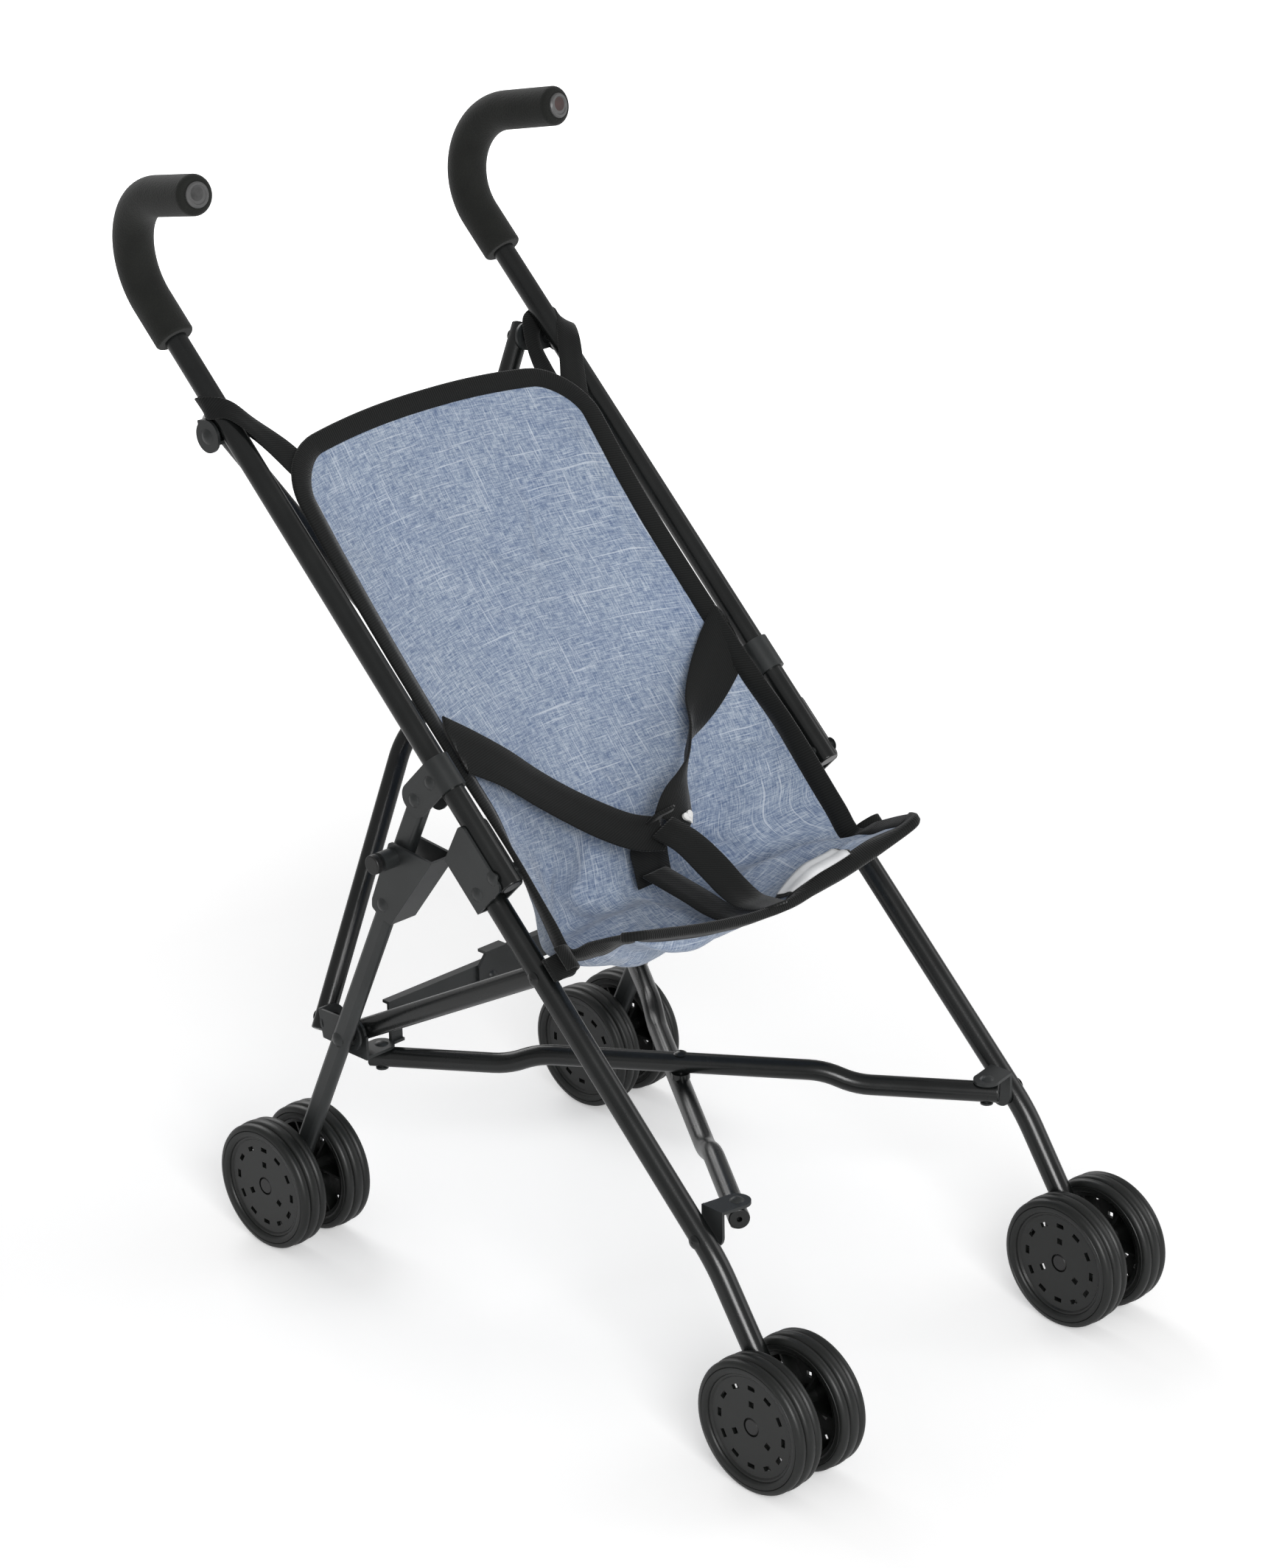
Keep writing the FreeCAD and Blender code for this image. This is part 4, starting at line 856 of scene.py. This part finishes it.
    def trim(self, across: float, along: float) -> tuple[float, float, bool]:
        """Pulls a place that lies outside the rounded outline onto it.

        Args:
            across: share across.
            along: share along.

        Returns:
            The place kept, and whether it was moved.
        """
        side, down = self.flat(across, along)
        top = down < self.run[-1] * 0.5
        radius = self.corners[0 if top else 1]
        centre = (math.copysign(self.half - radius, side),
                  radius if top else self.run[-1] - radius)
        away = (side - centre[0], down - centre[1])
        far = math.hypot(*away)
        below = down > radius if top else down < centre[1]
        if abs(side) < abs(centre[0]) or below or far <= radius:
            return across, along, False
        return ((centre[0] + away[0] * radius / far) / self.half,
                self.share(centre[1] + away[1] * radius / far), True)

    def outline(self, side: float, top: bool) -> list[Place]:
        """Returns places round one corner, from the side to the edge.

        Args:
            side: -1 for the right corner and 1 for the left.
            top: whether it is a top corner or a front tip.

        Returns:
            For each place its shares across and along, and the way inwards on the flat cloth.
        """
        radius, steps = self.corners[0 if top else 1], 12
        places = []
        for step in range(steps + 1):
            turn = math.pi * 0.5 * step / steps
            out = self.half - radius + radius * math.cos(turn)
            down = radius - radius * math.sin(turn)
            along = self.share(down if top else self.run[-1] - down)
            places.append((side * out / self.half, along, -side * math.cos(turn),
                           math.sin(turn) * (1.0 if top else -1.0)))
        return places

    def normal(self, across: float, along: float) -> Vector:
        """Returns the cloth's normal towards the sitter's side."""
        gap = 0.004
        left, right = min(across + gap, 1.0), max(across - gap, -1.0)
        front, top = min(along + gap, 1.0), max(along - gap, 0.0)
        side = self.place(left, along) - self.place(right, along)
        down = self.place(across, front) - self.place(across, top)
        return down.cross(side).normalized()

    def surface(self, across: float, along: float) -> Vector:
        """Returns the cloth's point with its creases and slight unevenness."""
        inside = 1.0 - abs(across) ** 8
        ends = min(1.0, along * 14.0, (1.0 - along) * 12.0)
        here = self.flat(across, along)
        lift = sum(fold.height(here, start, end) for fold, start, end in self.creases)
        rough = sum(noise.noise(Vector((here[0] * wide, here[1] * long, shift))) * high
                    for wide, long, shift, high in self.uneven)
        push = (lift + rough) * inside * max(ends, 0.15)
        return self.place(across, along) + self.normal(across, along) * (push / 1000.0)

    def build_cloth(self, finish: Material) -> Piece:
        """Makes the cloth with its thickness.

        Args:
            finish: the cloth's material.

        Returns:
            The cloth.
        """
        points, flat, moved = [], [], []
        corner_rows = 12
        levels = [self.share(i / corner_rows * self.corners[0]) for i in range(corner_rows)]
        rest = self.rows - corner_rows + 1
        levels += [levels[-1] + (1.0 - levels[-1]) * i / rest for i in range(1, rest + 1)]
        for along in levels:
            line = []
            for column in range(self.columns + 1):
                even = -1.0 + 2.0 * column / self.columns
                across = 0.5 * even + 0.5 * math.sin(even * math.pi * 0.5)
                *place, pulled = self.trim(across, along)
                line.append(self.surface(*place))
                moved.append(pulled)
            run = [0.0]
            for one, two in zip(line, line[1:]):
                run.append(run[-1] + (two - one).length)
            centre = run[self.columns // 2]
            points += line
            flat += [(place - centre, self.flat(0.0, along)[1] / 1000.0) for place in run]
        faces = [face for face in grid_faces(len(levels) - 1, self.columns)
                 if not all(moved[corner] for corner in face)]
        cloth = mesh_piece("seat_cloth", points, faces, flat)
        area = sum(polygon.area for polygon in cloth.data.polygons)
        LOG.info("cloth area %.4f square metres, %.1f mm long", area, self.run[-1])
        choose(cloth)
        with editing():
            bpy.ops.mesh.remove_doubles(threshold=MERGE)
            bpy.ops.mesh.delete_loose()
        thicken(cloth, self.thick)
        dress(cloth, finish, "side_right")
        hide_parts("seat_sling")
        return cloth

    def inset(self, place: Place, reaches: Sequence[float]) -> list[Vector]:
        """Returns points at distances in from the rim, measured over the cloth.

        Args:
            place: shares across and along, and the way inwards on the flat cloth.
            reaches: the distances in millimetres, growing.

        Returns:
            One point for each distance.
        """
        across, along, inward, onward = place
        found, run, here, step = [], 0.0, self.surface(across, along), 0
        while len(found) < len(reaches):
            step += 1
            deep = step * 0.25
            there = self.surface(across + inward * deep / self.half,
                                 along + onward * deep / self.length(along))
            gap = (there - here).length * 1000.0
            while len(found) < len(reaches) and run + gap >= reaches[len(found)]:
                found.append(here.lerp(there, (reaches[len(found)] - run) / gap))
            here, run = there, run + gap
        return found

    def length(self, along: float) -> float:
        """Returns how many millimetres of cloth a whole share would be at this place."""
        index = min(int(along * self.steps), self.steps - 1)
        return (self.run[index + 1] - self.run[index]) * self.steps

    def binding(self, name: str, places: list[Place], wide: float, plump: float,
                finish: Material) -> Piece:
        """Makes a folded tape along the cloth's rim.

        Args:
            name: the piece's name.
            places: shares across and along that the rim passes, and the ways inwards.
            wide: how far the tape reaches onto the cloth, in millimetres.
            plump: how thick its folded edge is, as a share of the usual.
            finish: the tape's material.

        Returns:
            The tape.
        """
        rims = [self.surface(*place[:2]) for place in places]
        rails = [[rim] + self.inset(place, (wide * 0.5, wide))
                 for rim, place in zip(rims, places)]
        rings, flat, run = [], [], 0.0
        for index, (rim, middle_way, inner) in enumerate(rails):
            before, after = rims[max(index - 1, 0)], rims[min(index + 1, len(rims) - 1)]
            run += (rim - before).length
            ahead = (after - before).normalized()
            first, second = middle_way - rim, inner - middle_way
            outer = rim - (first - ahead * first.dot(ahead)).normalized() * self.thick
            up = ahead.cross(first).normalized() / 1000.0
            turned = ahead.cross(second).normalized() / 1000.0
            thick = (1.0 + 0.06 * noise.noise(Vector((run * 60.0, 4.0, 1.0)))) * plump
            lifts = ((inner, turned * 0.75, 1.0), (middle_way, (up + turned) * 0.52 * thick, 0.5),
                     (rim, up * 1.2 * thick, 0.0), (outer, up * 0.65 * thick, -0.1))
            rings.append([point + lift for point, lift, _ in lifts]
                         + [point - lift for point, lift, _ in reversed(lifts)])
            flat += [(reach * wide / 1000.0, run)
                     for *_, reach in lifts + tuple(reversed(lifts))]
        return dress(swept(name, rings, flat), finish, "side_right")

    def build_bindings(self, finish: Material) -> list[Piece]:
        """Makes the tape round the back and sides, and the one along the front edge."""
        start, end = self.share(self.corners[0]), self.share(self.run[-1] - self.corners[1])
        steps = 150
        down = [start + (end - start) * i / steps for i in range(1, steps + 1)]
        corners = {(side, top): self.outline(side, top)
                   for side in (-1.0, 1.0) for top in (True, False)}
        spans = []
        for radius, steps, along, onward in ((self.corners[0], 40, 0.0, 1.0),
                                             (self.corners[1], 80, 1.0, -1.0)):
            reach = 1.0 - radius / self.half
            spans.append([(-reach + 2.0 * reach * i / steps, along, 0.0, onward)
                          for i in range(1, steps)])
        round_back = [(-1.0, a, 1.0, 0.0) for a in reversed(down)] + corners[-1.0, True] + \
            spans[0] + corners[1.0, True][::-1] + [(1.0, a, -1.0, 0.0) for a in down]
        front = corners[-1.0, False] + spans[1] + corners[1.0, False][::-1]
        return [self.binding(name, places, wide, plump, finish)
                for (name, wide, plump), places in zip(self.tapes, (round_back, front))]

    def build_label(self, cloth: Material, edge: Material) -> list[Piece]:
        """Makes the bare white patch and its dark border near the front edge."""
        pieces, rows, columns = [], 8, 16
        wide, deep = 0.096, 0.34
        for name, grow, lift, finish in (("patch_border", 0.0017, 0.0018, edge),
                                         ("patch", 0.0, 0.0026, cloth)):
            low = (self.patch[0][0] - grow / wide, self.patch[0][1] - grow / deep)
            high = (self.patch[1][0] + grow / wide, self.patch[1][1])
            points, flat = [], []
            for row in range(rows + 1):
                along = low[1] + (high[1] - low[1]) * row / rows
                for column in range(columns + 1):
                    across = low[0] + (high[0] - low[0]) * column / columns
                    points.append(self.surface(across, along)
                                  + self.normal(across, along) * lift)
                    flat.append((across * wide, along * 0.36))
            patch = mesh_piece(name, points, grid_faces(rows, columns), flat)
            thicken(patch, 0.0005)
            pieces.append(dress(patch, finish, "side_right"))
        return pieces


OUT = tuple(LINE.out())


@dataclass
class Harness:
    """Two belts, the tab that joins them, the crotch loop and the heart stud.

    Attributes:
        bands: each band's name, how its places are read, the points along it, and for
            each chosen place its three measures, its face's direction and its width.
        thick: thickness of the webbing in metres.
        limit: the belts are cut off at this distance from the middle, in metres.
    """

    bands: tuple[tuple[str, Callable[..., Vector], int, tuple], ...] = (
        ("belt_right", LINE.point, 70, (
            (-101, 69.5, 7.0, *OUT, 0.025), (-88, 58, 5.6, *OUT, 0.024),
            (-74, 46, 3.2, 0.05, -0.66, 0.75, 0.0225), (-60, 33.4, -1.8, 0.1, -0.68, 0.73, 0.0215),
            (-46, 21, -5.6, 0.08, -0.68, 0.73, 0.021), (-32, 9, -8.0, *OUT, 0.0205),
            (-18, -1.5, -9.0, *OUT, 0.02), (-4, -8, -8.0, *OUT, 0.018))),
        ("belt_left", LINE.point, 70, (
            (101, 76.5, 3.0, *OUT, 0.026), (86, 65.3, -1.5, *OUT, 0.026),
            (70, 53, -5.6, 0.2, -0.72, 0.66, 0.024), (56, 42.4, -8.6, 0.45, -0.75, 0.4, 0.020),
            (45, 32.3, -9.8, 0.65, -0.74, -0.18, 0.015), (35, 21, -9.5, 0.65, -0.74, -0.18, 0.014),
            (24, 10.5, -8.0, 0.5, -0.78, 0.2, 0.018), (13, 2.1, -6.5, 0.2, -0.8, 0.5, 0.021),
            (3, -5, -6.5, *OUT, 0.018))),
        ("tab", spot, 30, (
            (-1, 176, 240, 0, -1, 0.4, 0.014), (-0.5, 184.5, 229, 0, -1, 0.35, 0.021),
            (0, 188, 219, 0, -1, 0.05, 0.024), (0, 186, 209, 0.05, -1, -0.15, 0.024),
            (0, 183.5, 200.5, 0.05, -1, -0.2, 0.024))),
        ("crotch_upper", spot, 70, (
            (-4, 174.5, 233, -0.2, -0.5, 0.8, 0.0165), (-1, 161, 228.6, -0.25, -0.35, 0.9, 0.0165),
            (1.5, 147.5, 220.2, -0.3, -0.6, 0.75, 0.0165),
            (3, 136.5, 212.6, -0.25, -0.45, 0.85, 0.0165),
            (1.5, 124.3, 209.6, -0.15, -0.1, 1, 0.0165),
            (-1.5, 112.5, 212.0, -0.1, 0.35, 1, 0.015),
            (-4, 101.5, 215.4, 0, 0.4, 1, 0.014))),
        ("crotch_lower", spot, 70, (
            (-6, 178, 209.5, 0, -0.3, 1, 0.0165), (-5.5, 166, 207.4, 0, -0.15, 1, 0.0165),
            (-5, 152, 205.0, 0, -0.15, 1, 0.0165), (-5, 137.6, 202.6, 0, 0.0, 1, 0.0165),
            (-4, 125, 202.6, 0, 0.25, 1, 0.0165), (-2, 113, 208.2, 0, 0.45, 1, 0.0165),
            (0, 102, 214.6, 0, 0.45, 1, 0.0165))))
    thick: float = 0.0014
    limit: float = 0.0965

    def build(self, finish: Material) -> list[Piece]:
        """Makes the bands.

        Args:
            finish: the webbing's material.

        Returns:
            The bands.
        """
        made = []
        for name, read, samples, rows in self.bands:
            band = Ribbon(name, [read(*row[:3]) for row in rows],
                          [Vector(row[3:6]) for row in rows], [row[6] for row in rows],
                          self.thick, samples, self.limit).build()
            made.append(dress(band, finish, "side_right"))
        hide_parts("harness")
        return made

    def build_stud(self, finish: Material) -> Piece:
        """Makes the plain heart stud on the left belt's end."""
        scale = 0.00021
        clear_choice()
        bpy.ops.mesh.primitive_circle_add(vertices=48, radius=1.0, fill_type="NGON")
        stud = bpy.context.object
        stud.name = "stud_heart"
        for vertex in stud.data.vertices:
            turn = math.atan2(vertex.co.y, vertex.co.x) + math.pi * 0.5
            wide = 16.0 * math.sin(turn) ** 3
            tall = (13.0 * math.cos(turn) - 5.0 * math.cos(2 * turn)
                    - 2.0 * math.cos(3 * turn) - math.cos(4 * turn))
            vertex.co = Vector((wide * scale, tall * scale, 0.0))
        with editing():
            bpy.ops.mesh.extrude_region_move(TRANSFORM_OT_translate={"value": (0, 0, 0.0012)})
            bpy.ops.mesh.inset(thickness=0.0006, depth=0.0004)
            bpy.ops.mesh.select_all(action="SELECT")
            bpy.ops.mesh.normals_make_consistent(inside=False)
        up = Vector((0.1, -0.8, 0.55)).normalized()
        side = Vector((0.95, 0.3, 0.0)).normalized()
        over = up.cross(side).normalized()
        side = over.cross(up).normalized()
        turn = Matrix((side, over, up)).transposed().to_4x4()
        stud.matrix_world = Matrix.Translation(spot(13.6, 175.3, 232.6)) @ turn
        seat_mesh(stud)
        bpy.ops.object.shade_smooth_by_angle(angle=math.radians(40))
        dress(stud, finish, "side_right")
        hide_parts("harness_stud")
        return stud


@dataclass
class TieLoops:
    """Webbing that holds the seat's corners to the handles and the front legs.

    Attributes:
        right: the right top loop's line, as (across, along, out) beside the handle.
        left: the left top loop's line.
        turned: at each place of a loop, how far its face looks inwards and how far out.
        wide: the loops' widths at the same places.
        handle: distance of the handles and legs from the middle, in millimetres.
        leg_along: where the lower tabs sit, in millimetres up from the knee.
        radius: the lower tabs' radius round the leg, in millimetres.
    """

    right: tuple[Point, ...] = (
        (-83.0, 214.0, 4.2), (-91.0, 230.0, 6.2), (-100.0, 246.0, 7.4), (-106.0, 256.0, 6.6),
        (-111.4, 262.0, 1.2), (-109.3, 266.0, -4.9), (-104.0, 265.5, -6.5), (-98.0, 257.0, -2.5),
        (-92.0, 239.0, 2.2), (-84.0, 216.0, 3.2))
    left: tuple[Point, ...] = (
        (90.0, 214.0, 3.8), (97.5, 230.0, 6.4), (104.0, 243.0, 7.4), (110.2, 252.0, 4.6),
        (111.2, 259.0, -1.5), (106.5, 264.0, -6.4), (99.5, 260.0, -6.6), (94.0, 250.0, -6.4),
        (89.0, 237.0, -4.0), (83.0, 222.0, 1.0))
    turned: tuple[tuple[float, float], ...] = (
        (0.0, 1.0), (0.0, 1.0), (0.25, 1.0), (-0.15, 1.0), (-1.0, 0.2), (-0.7, -0.8),
        (0.15, -1.0), (0.2, -1.0), (0.0, -1.0), (0.0, -1.0))
    wide: tuple[float, ...] = (0.0155, 0.0135, 0.0115, 0.0105, 0.0105, 0.0105, 0.0105, 0.0105,
                               0.011, 0.0125)
    handle: float = 105.0
    leg_along: float = -48.5
    radius: float = 6.3

    def build_top(self, side: str, hand: int, finish: Material) -> Piece:
        """Makes one loop from the seat's top corner round the handle and back.

        Args:
            side: "right" or "left".
            hand: -1 for the right side and 1 for the left.
            finish: the webbing's material.

        Returns:
            The loop.
        """
        line = [LINE.point(*place) for place in (self.right if hand < 0 else self.left)]
        face = [Vector((-hand * across, 0.0, 0.0)) + LINE.out() * out
                for across, out in self.turned]
        band = Ribbon("tie_loop_" + side, line, face, list(self.wide), 0.0012, 90).build()
        return dress(band, finish, "side_" + side)

    def build_low(self, side: str, hand: int, finish: Material) -> Piece:
        """Makes one tab that holds the seat's lower corner to the front leg."""
        centre = LINE.point(hand * self.handle, self.leg_along, 0.0)
        line, face, half = [], [], 8
        for step in range(2 * half + 1):
            turn = 2.0 * (step / half - 1.0)
            way = Vector((-hand * math.cos(turn), 0.0, 0.0)) + LINE.out() * math.sin(turn)
            reach = self.radius + 1.5 * max(math.cos(turn), 0.0) ** 5
            line.append(centre + way * (reach / 1000.0))
            face.append(way)
        band = Ribbon("leg_tab_" + side, line, face, [0.012] * len(line), 0.0013, 40).build()
        return dress(band, finish, "front_leg_" + side)


# ---------------------------------------------------------------- wheels


@dataclass
class Tyres:
    """Soft tyres with three rounded ribs, turned once and copied to every wheel.

    Attributes:
        inner: radius of the seat on the wheel, in millimetres.
        outer: radius over the ribs, in millimetres.
        half: half of the width, in millimetres.
        steps: steps round the tyre.
    """

    inner: float = 25.65
    outer: float = 32.7
    half: float = 7.7
    steps: int = 96

    def profile(self) -> list[Flat]:
        """Returns the section as (sideways, radius) points in millimetres."""
        low, top, side = self.inner, self.outer, self.half
        half = [(0.0, low), (side - 1.4, low), (side - 0.5, low + 0.5), (side, low + 1.6),
                (side, low + 3.2), (side - 0.35, low + 3.5), (side, low + 3.8),
                (side - 0.15, top - 2.4), (side - 0.8, top - 1.1), (side - 2.0, top - 0.45),
                (side - 3.4, top - 0.5), (side - 4.4, top - 1.0), (side - 4.9, top - 1.7),
                (side - 5.4, top - 0.7), (side - 6.3, top - 0.1), (0.0, top)]
        return half + [(-across, radius) for across, radius in reversed(half[1:-1])]

    def turn(self) -> Piece:
        """Spins the section into a tyre about X at the origin."""
        clear_choice()
        bpy.ops.mesh.primitive_plane_add(size=0.001)
        tyre = bpy.context.object
        section = self.profile()
        with editing():
            bpy.ops.mesh.merge(type="CENTER")
            start = section[0]
            bpy.ops.transform.translate(value=(start[0] / 1000.0, 0.0, start[1] / 1000.0))
            for one, two in zip(section, section[1:] + section[:1]):
                shift = ((two[0] - one[0]) / 1000.0, 0.0, (two[1] - one[1]) / 1000.0)
                bpy.ops.mesh.extrude_region_move(TRANSFORM_OT_translate={"value": shift})
            bpy.ops.mesh.select_all(action="SELECT")
            bpy.ops.mesh.remove_doubles(threshold=MERGE * 0.5)
            bpy.ops.mesh.spin(steps=self.steps, angle=math.tau, center=(0, 0, 0), axis=(1, 0, 0))
            bpy.ops.mesh.select_all(action="SELECT")
            bpy.ops.mesh.remove_doubles(threshold=MERGE)
            bpy.ops.mesh.normals_make_consistent(inside=False)
        bpy.ops.object.shade_smooth_by_angle(angle=math.radians(38))
        return tyre

    def build(self, finish: Material) -> None:
        """Makes all eight tyres."""
        master = self.turn()
        for node in sorted(frame["nodes"]):
            if not node.startswith("tyre_"):
                continue
            wheel = node[len("tyre_"):]
            tyre = placed("ribbed_tyre_" + wheel, master.data.copy())
            tyre.matrix_world = Matrix.Translation(middle(node))
            seat_mesh(tyre)
            dress(tyre, finish, "wheel_" + wheel)
            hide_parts(node)
        bpy.data.objects.remove(master)


# ---------------------------------------------------------------- frame finishes


@dataclass
class Metalwork:
    """Finishes for the frame's own nodes."""

    finishes: dict[Slot, Material]

    def dress_nodes(self) -> None:
        """Gives every frame node the finish of its slot, and each cap its own."""
        slots = {entry["node"]: Slot(entry["material_slot"])
                 for entry in frame["record"]["subparts"]}
        for node, piece in frame["nodes"].items():
            finish = self.finishes.get(slots[node])
            if slots[node] is Slot.CAP:
                finish = self.cap(node)
            if finish is not None:
                paint(piece, finish)
                LOG.info("%s has %s", node, finish.name)

    def cap(self, node: str) -> Material:
        """Returns the finish of one grip cap, greyer on the right and redder on the left."""
        disc = (0.05, 0.05, 0.05) if node.endswith("right") else (0.035, 0.012, 0.01)
        return CapPlastic("cap " + node, tuple(middle(node)), disc).material()


# ---------------------------------------------------------------- studio


@dataclass
class Studio:
    """Camera, lamps and a pale floor.

    Attributes:
        eye: the camera's place, read by `spot`.
        azimuth: degrees that the view is turned, from the front to the left.
        height: degrees that it looks down.
        roll: degrees that it leans.
        lens: focal length on the sensor, in millimetres.
        sensor: the sensor's longer side, in millimetres.
        lamps: each lamp's name, place and size in metres, and power in watts.
        ambient: strength of the white surroundings where the camera doesn't see them.
    """

    eye: Point = (-1355.7, -1187.5, 1059.2)
    azimuth: float = -44.467
    height: float = 22.738
    roll: float = 0.55
    lens: float = 102.19
    sensor: float = 36.0
    lamps: tuple[tuple[str, Point, float, float], ...] = (
        ("key", (-1.2, -1.95, 1.25), 1.0, 39.5), ("fill", (1.9, -1.2, 1.2), 1.6, 10.0),
        ("rim", (0.5, 2.0, 1.5), 1.5, 20.0))
    ambient: float = 0.38

    def camera(self) -> None:
        """Adds the camera."""
        turn, tilt, roll = (math.radians(v) for v in (self.azimuth, self.height, self.roll))
        back = Vector((math.sin(turn) * math.cos(tilt), -math.cos(turn) * math.cos(tilt),
                       math.sin(tilt)))
        right = (-back).cross(Vector((0, 0, 1))).normalized()
        down = (-back).cross(right)
        across = right * math.cos(roll) + down * math.sin(roll)
        under = down * math.cos(roll) - right * math.sin(roll)
        data = bpy.data.cameras.new("view")
        data.lens, data.sensor_width, data.sensor_fit = self.lens, self.sensor, "AUTO"
        data.clip_end = 20.0
        eye = placed("view", data)
        axes = Matrix((across, -under, back)).transposed().to_4x4()
        eye.matrix_world = Matrix.Translation(spot(*self.eye)) @ axes
        bpy.context.scene.camera = eye

    def lamp(self, name: str, place: Point, size: float, power: float) -> None:
        """Adds one soft lamp that looks at the stroller's middle."""
        target = Vector((0, 0, 0.25))
        data = bpy.data.lights.new(name, "AREA")
        data.shape, data.size, data.energy = "SQUARE", size, power
        lamp = placed(name, data)
        lamp.location = place
        lamp.rotation_euler = (target - Vector(place)).to_track_quat("-Z", "Y").to_euler()

    def build(self) -> None:
        """Adds the camera, the lamps, the world and the floor."""
        self.camera()
        for lamp in self.lamps:
            self.lamp(*lamp)
        world = bpy.data.worlds.new("studio")
        world.use_nodes = True
        bpy.context.scene.world = world
        back = world.node_tree.nodes["Background"]
        back.inputs[0].default_value = (1, 1, 1, 1)
        kit = Nodes(world.node_tree)
        path = kit.add("ShaderNodeLightPath")
        seen = kit.math("ADD", path.outputs["Is Camera Ray"],
                        path.outputs["Is Transmission Ray"], clamp=True)
        strength = kit.add("ShaderNodeMapRange", {"To Min": self.ambient, "To Max": 1.0})
        kit.link(seen, strength.inputs["Value"])
        kit.link(strength.outputs[0], back.inputs[1])
        bpy.context.scene.view_settings.view_transform = "Standard"
        self.floor()

    def floor(self) -> None:
        """Adds the pale floor, lifted to white where the camera sees it."""
        clear_choice()
        bpy.ops.mesh.primitive_plane_add(size=12.0, location=(0, 0, 0))
        floor = bpy.context.object
        floor.name = "floor"
        kit = Skin("floor white")
        kit.surface.inputs["Emission Color"].default_value = (1, 1, 1, 1)
        path = kit.add("ShaderNodeLightPath")
        source = kit.add("ShaderNodeTexCoord")
        away = kit.add("ShaderNodeVectorMath", operation="LENGTH")
        kit.link(source.outputs["Object"], away.inputs[0])
        far = kit.add("ShaderNodeMapRange", {"From Min": 0.45, "From Max": 1.6, "To Min": 0.3})
        kit.link(away.outputs["Value"], far.inputs["Value"])
        glow = kit.math("MULTIPLY", path.outputs["Is Camera Ray"], far.outputs["Result"])
        kit.link(glow, kit.surface.inputs["Emission Strength"])
        floor.data.materials.append(kit.finish((0.88, 0.88, 0.88), 0.9,
                                               Specular_IOR_Level=0.1))


def finishes() -> dict[Slot, Material]:
    """Returns the finish of each record slot."""
    return {
        Slot.BLACK: powder_coat("black powder coat", (0.0054, 0.0062, 0.0061), 0.26),
        Slot.GREY: powder_coat("grey powder coat", (0.0185, 0.0205, 0.0208), 0.38),
        Slot.AXLE: powder_coat("dark axle", (0.012, 0.012, 0.012), 0.4),
        Slot.FOAM: FoamSkin().material(),
        Slot.BUTTON: Coat("button plastic", (0.009, 0.009, 0.009), 0.45).material(),
        Slot.WHEEL: Coat("wheel plastic", (0.0066, 0.0074, 0.0068), 0.32).material(),
        Slot.TYRE: Coat("tyre rubber", (0.0075, 0.0084, 0.0078), 0.42, 700.0,
                        0.00007, 0.45).material(),
        Slot.SEAT: Denim().material(),
        Slot.WEBBING: Tape("webbing", pitch=0.0011, slant=38.0).material(),
        Slot.STUD: Coat("stud white", (0.75, 0.75, 0.74), 0.3).material(),
    }


def main() -> None:
    """Builds every piece in order."""
    logging.basicConfig(level=logging.INFO, format="%(message)s")
    Studio().build()
    finish = finishes()
    Metalwork(finish).dress_nodes()
    Tyres().build(finish[Slot.TYRE])
    rib = Tape("binding tape", pitch=0.0013, depth=0.0003).material()
    seat = Seat()
    cloth = seat.build_cloth(finish[Slot.SEAT])
    tapes = seat.build_bindings(rib)
    white = Coat("patch white", (0.62, 0.63, 0.64), 0.8).material()
    labels = seat.build_label(white, rib)
    harness = Harness()
    bands = harness.build(finish[Slot.WEBBING])
    stud = harness.build_stud(finish[Slot.STUD])
    loops = TieLoops()
    for side, hand in (("right", -1), ("left", 1)):
        loops.build_top(side, hand, finish[Slot.WEBBING])
        loops.build_low(side, hand, finish[Slot.WEBBING])
    for piece in [cloth, stud] + tapes + labels + bands:
        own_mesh(piece)


if __name__ == "__main__":
    main()
